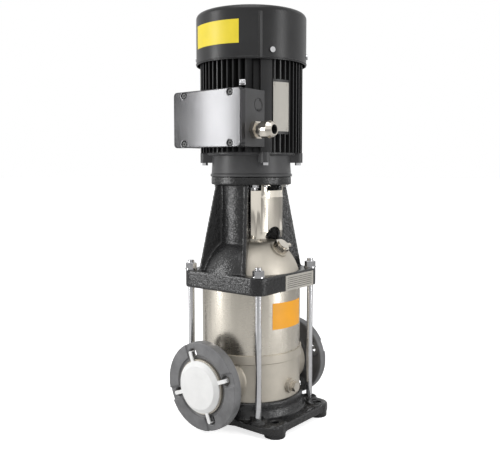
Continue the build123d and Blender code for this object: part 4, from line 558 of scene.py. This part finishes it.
def cast_copy(node, name, body, slot, finishes, grain, passes, added=()):
    """A CAD node with the soft edges and fillets of a sand casting."""
    piece = copied(node)
    if added:
        joined(piece, *added)
    modified(piece, "REMESH", mode="VOXEL", voxel_size=grain, use_smooth_shade=True)
    modified(piece, "SMOOTH", factor=SMOOTH_FACTOR, iterations=passes)
    alone(piece)
    bpy.ops.object.shade_smooth()
    finished(piece, name, body, slot, finishes)
    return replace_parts(piece, node)


# ---------------------------------------------------------------- places and sizes
# Lengths in metres, and azimuths about the pump's axis from +X.

# CAD nodes whose paint differs from that of their material slot; the drive-end shield and the
# terminal box take a lighter copy of the charcoal, which is painted light where the light falls
# on them
OTHER_FINISHES = {
    "fan_cover_screws": "zinc", "drive_end_shield": "shield_grey",
    "terminal_box": "shield_grey",
}

# Thin rim that stands on the stool's skirt
STOOL_RIM = (0.2612, 0.2895)
STOOL_RIM_RADIUS = 0.0985
STOOL_RIM_WALL = 0.0032

# Smoothing passes
FLANGE_PASSES = 4
LID_PASSES = 3

# Ports, with the side of the pump on which each one stands
PORTS = {"suction": -1, "discharge": 1}
PORT_HEIGHT = 0.090
FLANGE_CLOCKING = radians(21)
HOOKS_PER_PLUG = 4
HOOK_RADIUS = 0.0665
HOOK_X = 0.1465
HOOK_DEPTH = 0.010
HOOK_THICKNESS = 0.0024
HOOK_ROUNDING = 0.0008

# Coupling guards, and the cut over the air vent
GUARD_RADIUS = 0.0625
GUARD_LOW = 0.359
RELIEF_AZIMUTH = radians(-95)
RELIEF_SIDES = 64
GUARD_EDGE = 0.0003
GUARD_EDGE_STEPS = 2
GUARD_EDGE_ANGLE = radians(40)

# Fan cover, with its lap joint in the lighter charcoal as a painted highlight, a black strip
# beside that as a painted shadow, and the bead round its rim
COVER_RADIUS = 0.1064
COVER_STRAIGHT = (0.6900, 0.7715)
SEAM_AZIMUTH = radians(228.3)
SEAM_ROUNDING = 0.6  # share of the height
SEAM_TO_SHADOW_STRIP = 0.035  # radians
SHADOW_STRIP_AZIMUTH = SEAM_AZIMUTH - SEAM_TO_SHADOW_STRIP
SHADOW_STRIP_WIDTH = 0.0034
SHADOW_STRIP_HEIGHT = 0.4  # share of the seam's height
BEAD_SINK = 0.4  # share of the bead's radius
BEAD_SEGMENTS = (160, 12)

# Earth lug, and its screw as shares of the lug's side
EARTH_PLACE = (-0.0845, -0.0485, 0.6465)
EARTH_AZIMUTH = radians(210)
LUG_ROUNDING = 0.12
SCREW_REACH = 0.6
SCREW_RADIUS = 0.33
SCREW_DEPTH = 0.3
SCREW_ROUNDING = 0.07
SCREW_SIDES = 32

# Crescent of the knock-out: half of a flattened ring in black, a painted shadow inside the
# knock-out's recess
KNOCKOUT = (-0.0790, -0.0801, 0.6055)
KNOCKOUT_RADIUS = 0.0098
KNOCKOUT_SECTION = 0.0022
KNOCKOUT_SEGMENTS = (64, 16)
KNOCKOUT_FLATNESS = 0.35
KNOCKOUT_CUT = (-0.94, 0, 0.34)

# Ruled lines on the stool's plate
PLATE_LINES_X = (-0.014, 0.067)
PLATE_LINES_Y = -0.0995
PLATE_LINES_Z = (0.2665, 0.2855)
PLATE_LINES = 6
LINE_DEPTH = 0.0003
LINE_HEIGHT = 0.0010
LINE_ROUNDING = 0.0001

FLOOR_SIZE = 60
WHITE = (1, 1, 1, 1)
# Name, place, aim, width, height, watts
LAMPS = (
    ("left_softbox", (-1.05, 0.79, 0.62), (0, 0, 0.45), 0.10, 1.1, 11),
    ("right_softbox", (0.25, -1.45, 0.60), (0, 0, 0.40), 0.16, 1.2, 10),
    ("top_softbox", (-0.5, -0.3, 1.9), (0, 0, 0.4), 0.9, 0.9, 10),
)


def at_azimuth(radius, azimuth, centre=(0, 0), height=0):
    """Point at a distance from an upright axis, in a direction and at a height."""
    x, y = centre
    return (x + radius * cos(azimuth), y + radius * sin(azimuth), height)


# ---------------------------------------------------------------- operators


class PieceOperator:
    """What the operators that add pieces share."""

    bl_options = {"REGISTER", "UNDO"}

    @property
    def trim(self):
        return bpy.context.scene.pump_trim

    @property
    def finishes(self):
        return {material.name: material for material in bpy.data.materials}


class PUMP_OT_finishes(PieceOperator, bpy.types.Operator):
    """Give every CAD node the finish of its material slot"""

    bl_idname = "pump.finishes"
    bl_label = "Finishes"

    def execute(self, context):
        # The frame's own materials give up the names, which the finishes take.
        for material in list(bpy.data.materials):
            material.name = "frame_" + material.name
        finishes = make_finishes(context.scene.pump_colours)
        for subpart in frame["record"]["subparts"]:
            node = NODES[subpart["node"]]
            node.data.materials.clear()
            slot = OTHER_FINISHES.get(subpart["node"], subpart["material_slot"])
            node.data.materials.append(finishes[slot])
        return {"FINISHED"}


class PUMP_OT_castings(PieceOperator, bpy.types.Operator):
    """Stool and base with the rounded edges of sand castings"""

    bl_idname = "pump.castings"
    bl_label = "Stool and base"

    def execute(self, context):
        trim = self.trim
        rim = tube(STOOL_RIM_RADIUS, STOOL_RIM_WALL, *STOOL_RIM)
        for node, grain, added in (
            ("motor_stool", trim.stool_grain, (rim,)),
            ("base_plate", trim.base_grain, ()),
        ):
            cast_copy(
                node, node + "_casting", "pump", "cast_iron_black", self.finishes,
                grain, trim.rounding, added,
            )
        return {"FINISHED"}


class PUMP_OT_flanges(PieceOperator, bpy.types.Operator):
    """Both port flanges with cast edges"""

    bl_idname = "pump.flanges"
    bl_label = "Port flanges"

    def execute(self, context):
        for port in PORTS:
            node = port + "_flange"
            cast_copy(
                node, node + "_casting", node, "flange_grey", self.finishes,
                self.trim.flange_grain, FLANGE_PASSES,
            )
        return {"FINISHED"}


class PUMP_OT_guards(PieceOperator, bpy.types.Operator):
    """Coupling guards with the relieved corner over the air vent"""

    bl_idname = "pump.guards"
    bl_label = "Coupling guards"

    def execute(self, context):
        guards = copied("coupling_guards")
        edit(guards)
        bpy.ops.transform.mirror(
            constraint_axis=(True, False, False), orient_type="GLOBAL",
            center_override=(0, 0, 0),
        )
        bpy.ops.mesh.normals_make_consistent(inside=False)
        applied(guards)
        cutter = primitive(
            "cylinder", vertices=RELIEF_SIDES, radius=self.trim.relief_radius,
            depth=GUARD_RADIUS, rotation=(0, pi / 2, RELIEF_AZIMUTH),
            location=at_azimuth(GUARD_RADIUS, RELIEF_AZIMUTH, height=GUARD_LOW),
        )
        modified(
            guards, "BOOLEAN", operation="DIFFERENCE", object=cutter, solver="EXACT"
        )
        alone(cutter)
        bpy.ops.object.delete()
        bevelled(guards, GUARD_EDGE, GUARD_EDGE_STEPS, angle_limit=GUARD_EDGE_ANGLE)
        smooth(guards)
        finished(guards, "guard_sheets", "pump", "stainless_bright", self.finishes)
        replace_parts(guards, "coupling_guards")
        return {"FINISHED"}


class PUMP_OT_hooks(PieceOperator, bpy.types.Operator):
    """Hooks at the ends of the port plugs' arms, inside the flange holes"""

    bl_idname = "pump.hooks"
    bl_label = "Plug hooks"

    def execute(self, context):
        sizes = (HOOK_DEPTH, self.trim.hook_width, HOOK_THICKNESS)
        for port, side in PORTS.items():
            hooks = []
            for number in range(HOOKS_PER_PLUG):
                turn = FLANGE_CLOCKING + number * 2 * pi / HOOKS_PER_PLUG
                place = (
                    side * HOOK_X,
                    HOOK_RADIUS * sin(turn),
                    PORT_HEIGHT + HOOK_RADIUS * cos(turn),
                )
                hooks.append(bar(place, (-turn, 0, 0), sizes, HOOK_ROUNDING))
            piece = smooth(joined(*hooks))
            finished(
                piece, port + "_plug_hooks", port + "_plug", "plug_white", self.finishes
            )
        return {"FINISHED"}


class PUMP_OT_fan_cover(PieceOperator, bpy.types.Operator):
    """Lap joint and rolled rim of the fan cover; the lap's lighter paint is a painted highlight
    and the black strip beside it a painted shadow
    """

    bl_idname = "pump.fan_cover"
    bl_label = "Fan cover trim"

    def execute(self, context):
        trim = self.trim
        low, high = COVER_STRAIGHT
        # The lap takes the lighter charcoal as a painted highlight, and the black strip beside
        # it is a painted shadow at the lap's step
        seam, shadow_strip_proud = trim.seam_height, trim.seam_height * SHADOW_STRIP_HEIGHT
        for name, azimuth, width, proud, finish in (
            ("cover_lap", SEAM_AZIMUTH, trim.seam_width, seam, "shield_grey"),
            ("cover_lap_gap", SHADOW_STRIP_AZIMUTH, SHADOW_STRIP_WIDTH, shadow_strip_proud, "black_plastic"),
        ):
            # Half of each strip's depth is inside the cover's wall.
            strip = bar(
                at_azimuth(COVER_RADIUS, azimuth, height=(low + high) / 2),
                (0, 0, azimuth), (2 * proud, width, high - low), proud * SEAM_ROUNDING,
            )
            finished(smooth(strip), name, "pump", "motor_charcoal", self.finishes, finish)
        bead = trim.bead_radius
        around, across = BEAD_SEGMENTS
        rim = applied(primitive(
            "torus", major_radius=COVER_RADIUS - bead * BEAD_SINK, minor_radius=bead,
            major_segments=around, minor_segments=across, location=(0, 0, low + bead),
        ))
        finished(smooth(rim), "cover_rim_bead", "pump", "motor_charcoal", self.finishes)
        return {"FINISHED"}


class PUMP_OT_earth_lug(PieceOperator, bpy.types.Operator):
    """Square earth lug with its screw above the terminal box"""

    bl_idname = "pump.earth_lug"
    bl_label = "Earth lug"

    def execute(self, context):
        side = self.trim.lug_size
        turn = (0, 0, EARTH_AZIMUTH)
        lug = bar(EARTH_PLACE, turn, (side, side, side), side * LUG_ROUNDING)
        *centre, height = EARTH_PLACE
        head = applied(primitive(
            "cylinder", vertices=SCREW_SIDES, radius=side * SCREW_RADIUS,
            depth=side * SCREW_DEPTH, rotation=(0, pi / 2, EARTH_AZIMUTH),
            location=at_azimuth(side * SCREW_REACH, EARTH_AZIMUTH, centre, height),
        ))
        bevelled(head, side * SCREW_ROUNDING)
        finished(smooth(joined(lug, head)), "earth_lug", "pump", "zinc", self.finishes)
        return {"FINISHED"}


class PUMP_OT_knockout(PieceOperator, bpy.types.Operator):
    """Black crescent in the terminal box's side, a painted shadow inside the knock-out's recess
    """

    bl_idname = "pump.knockout"
    bl_label = "Knock-out"

    def execute(self, context):
        around, across = KNOCKOUT_SEGMENTS
        crescent = primitive(
            "torus", major_radius=KNOCKOUT_RADIUS, minor_radius=KNOCKOUT_SECTION,
            major_segments=around, minor_segments=across, location=KNOCKOUT,
            rotation=(pi / 2, 0, 0),
        )
        crescent.scale = (1, 1, KNOCKOUT_FLATNESS)
        edit(crescent)
        bpy.ops.mesh.bisect(
            plane_co=KNOCKOUT, plane_no=KNOCKOUT_CUT, use_fill=True, clear_outer=True
        )
        applied(crescent)
        # The black crescent is painted shadow inside the knock-out's recess
        finished(smooth(crescent), "knockout_slot", "pump", "black_plastic", self.finishes)
        return {"FINISHED"}


class PUMP_OT_plate_lines(PieceOperator, bpy.types.Operator):
    """Ruled lines on the stool's blank plate"""

    bl_idname = "pump.plate_lines"
    bl_label = "Plate lines"

    def execute(self, context):
        left, right = PLATE_LINES_X
        low, high = PLATE_LINES_Z
        place = ((left + right) / 2, PLATE_LINES_Y, low)
        line = bar(
            place, (0, 0, 0), (right - left, LINE_DEPTH, LINE_HEIGHT), LINE_ROUNDING
        )
        modified(
            line, "ARRAY", count=PLATE_LINES, use_relative_offset=False,
            use_constant_offset=True,
            constant_offset_displace=(0, 0, (high - low) / (PLATE_LINES - 1)),
        )
        finished(smooth(line), "stool_plate_lines", "pump", "motor_charcoal", self.finishes)
        return {"FINISHED"}


class PUMP_OT_lid(PieceOperator, bpy.types.Operator):
    """Lid of the terminal box with rolled edges"""

    bl_idname = "pump.lid"
    bl_label = "Terminal box lid"

    def execute(self, context):
        cast_copy(
            "terminal_box_lid", "terminal_box_lid_rolled", "pump", "lid_grey",
            self.finishes, self.trim.lid_grain, LID_PASSES,
        )
        return {"FINISHED"}


class PUMP_OT_stage(bpy.types.Operator):
    """Floor, soft lamps, white surround and camera"""

    bl_idname = "pump.stage"
    bl_label = "Studio"

    def execute(self, context):
        studio = context.scene.pump_studio
        floor = floor_finish(studio)
        plane = primitive("plane", size=FLOOR_SIZE, location=(0, 0, 0))
        plane.name = "studio_floor"
        plane.data.materials.append(floor.material)
        make_sky(context.scene, studio.sky)
        for lamp in LAMPS:
            add_lamp(*lamp)
        bpy.ops.object.camera_add(location=studio.camera_place)
        camera = context.object
        camera.rotation_euler = (
            pi / 2 - studio.camera_dip, 0, studio.camera_heading - pi / 2
        )
        camera.data.lens = studio.lens
        context.scene.camera = camera
        context.scene.view_settings.view_transform = "Standard"
        return {"FINISHED"}


def add_lamp(name, place, aim, width, height, power):
    bpy.ops.object.light_add(type="AREA", location=place)
    lamp = bpy.context.object
    lamp.name = name
    lamp.rotation_euler = (Vector(aim) - Vector(place)).to_track_quat("-Z", "Y").to_euler()
    lamp.data.shape = "RECTANGLE"
    lamp.data.size, lamp.data.size_y = width, height
    lamp.data.energy = power


def floor_finish(studio):
    """Pale floor that keeps the shadow, whitened where the camera looks at it."""
    floor = Finish("studio_floor", studio.floor_colour, roughness=0.8)
    rays = Value(floor, floor.node("ShaderNodeLightPath").outputs["Is Camera Ray"])
    floor.shader.inputs["Emission Color"].default_value = WHITE
    floor.feed(floor.shader.inputs["Emission Strength"], rays * studio.floor_glow)
    return floor


def make_sky(scene, strength):
    """White where the camera, a reflection or glass looks, and a plain soft light elsewhere."""
    world = bpy.data.worlds.new("studio_sky")
    scene.world = world
    world.use_nodes = True
    tree = world.node_tree
    rays = tree.nodes.new("ShaderNodeLightPath").outputs
    looked_at = rays["Is Camera Ray"]
    for ray in ("Is Glossy Ray", "Is Transmission Ray"):
        either = tree.nodes.new("ShaderNodeMath")
        either.operation = "MAXIMUM"
        tree.links.new(looked_at, either.inputs[0])
        tree.links.new(rays[ray], either.inputs[1])
        looked_at = either.outputs[0]
    plain = tree.nodes["Background"]
    white = tree.nodes.new("ShaderNodeBackground")
    for background, brightness in ((plain, strength), (white, 1)):
        background.inputs["Color"].default_value = WHITE
        background.inputs["Strength"].default_value = brightness
    mix = tree.nodes.new("ShaderNodeMixShader")
    for source, socket in zip((looked_at, plain.outputs[0], white.outputs[0]), mix.inputs):
        tree.links.new(source, socket)
    tree.links.new(mix.outputs[0], tree.nodes["World Output"].inputs["Surface"])


OPERATORS = (
    PUMP_OT_finishes, PUMP_OT_castings, PUMP_OT_flanges, PUMP_OT_guards, PUMP_OT_hooks,
    PUMP_OT_fan_cover, PUMP_OT_earth_lug, PUMP_OT_knockout, PUMP_OT_plate_lines,
    PUMP_OT_lid, PUMP_OT_stage,
)
GROUPS = {"pump_trim": PumpTrim, "pump_colours": PumpColours, "pump_studio": PumpStudio}


class PUMP_PT_panel(bpy.types.Panel):
    """Sizes, colours and pieces of the pump"""

    bl_idname = "PUMP_PT_panel"
    bl_label = "Pump"
    bl_space_type = "VIEW_3D"
    bl_region_type = "UI"
    bl_category = "Pump"

    def draw(self, context):
        for name, group in GROUPS.items():
            box = self.layout.box()
            for field in group.__annotations__:
                box.prop(getattr(context.scene, name), field)
        for operator in OPERATORS:
            self.layout.operator(operator.bl_idname)


def register():
    for group in GROUPS.values():
        bpy.utils.register_class(group)
    for name, group in GROUPS.items():
        setattr(bpy.types.Scene, name, bpy.props.PointerProperty(type=group))
    for made in (*OPERATORS, PUMP_PT_panel):
        bpy.utils.register_class(made)


def unregister():
    for made in (PUMP_PT_panel, *reversed(OPERATORS)):
        bpy.utils.unregister_class(made)
    for name, group in GROUPS.items():
        delattr(bpy.types.Scene, name)
        bpy.utils.unregister_class(group)


def main():
    register()
    for operator in OPERATORS:
        family, name = operator.bl_idname.split(".")
        getattr(getattr(bpy.ops, family), name)()


if __name__ == "__main__":
    main()
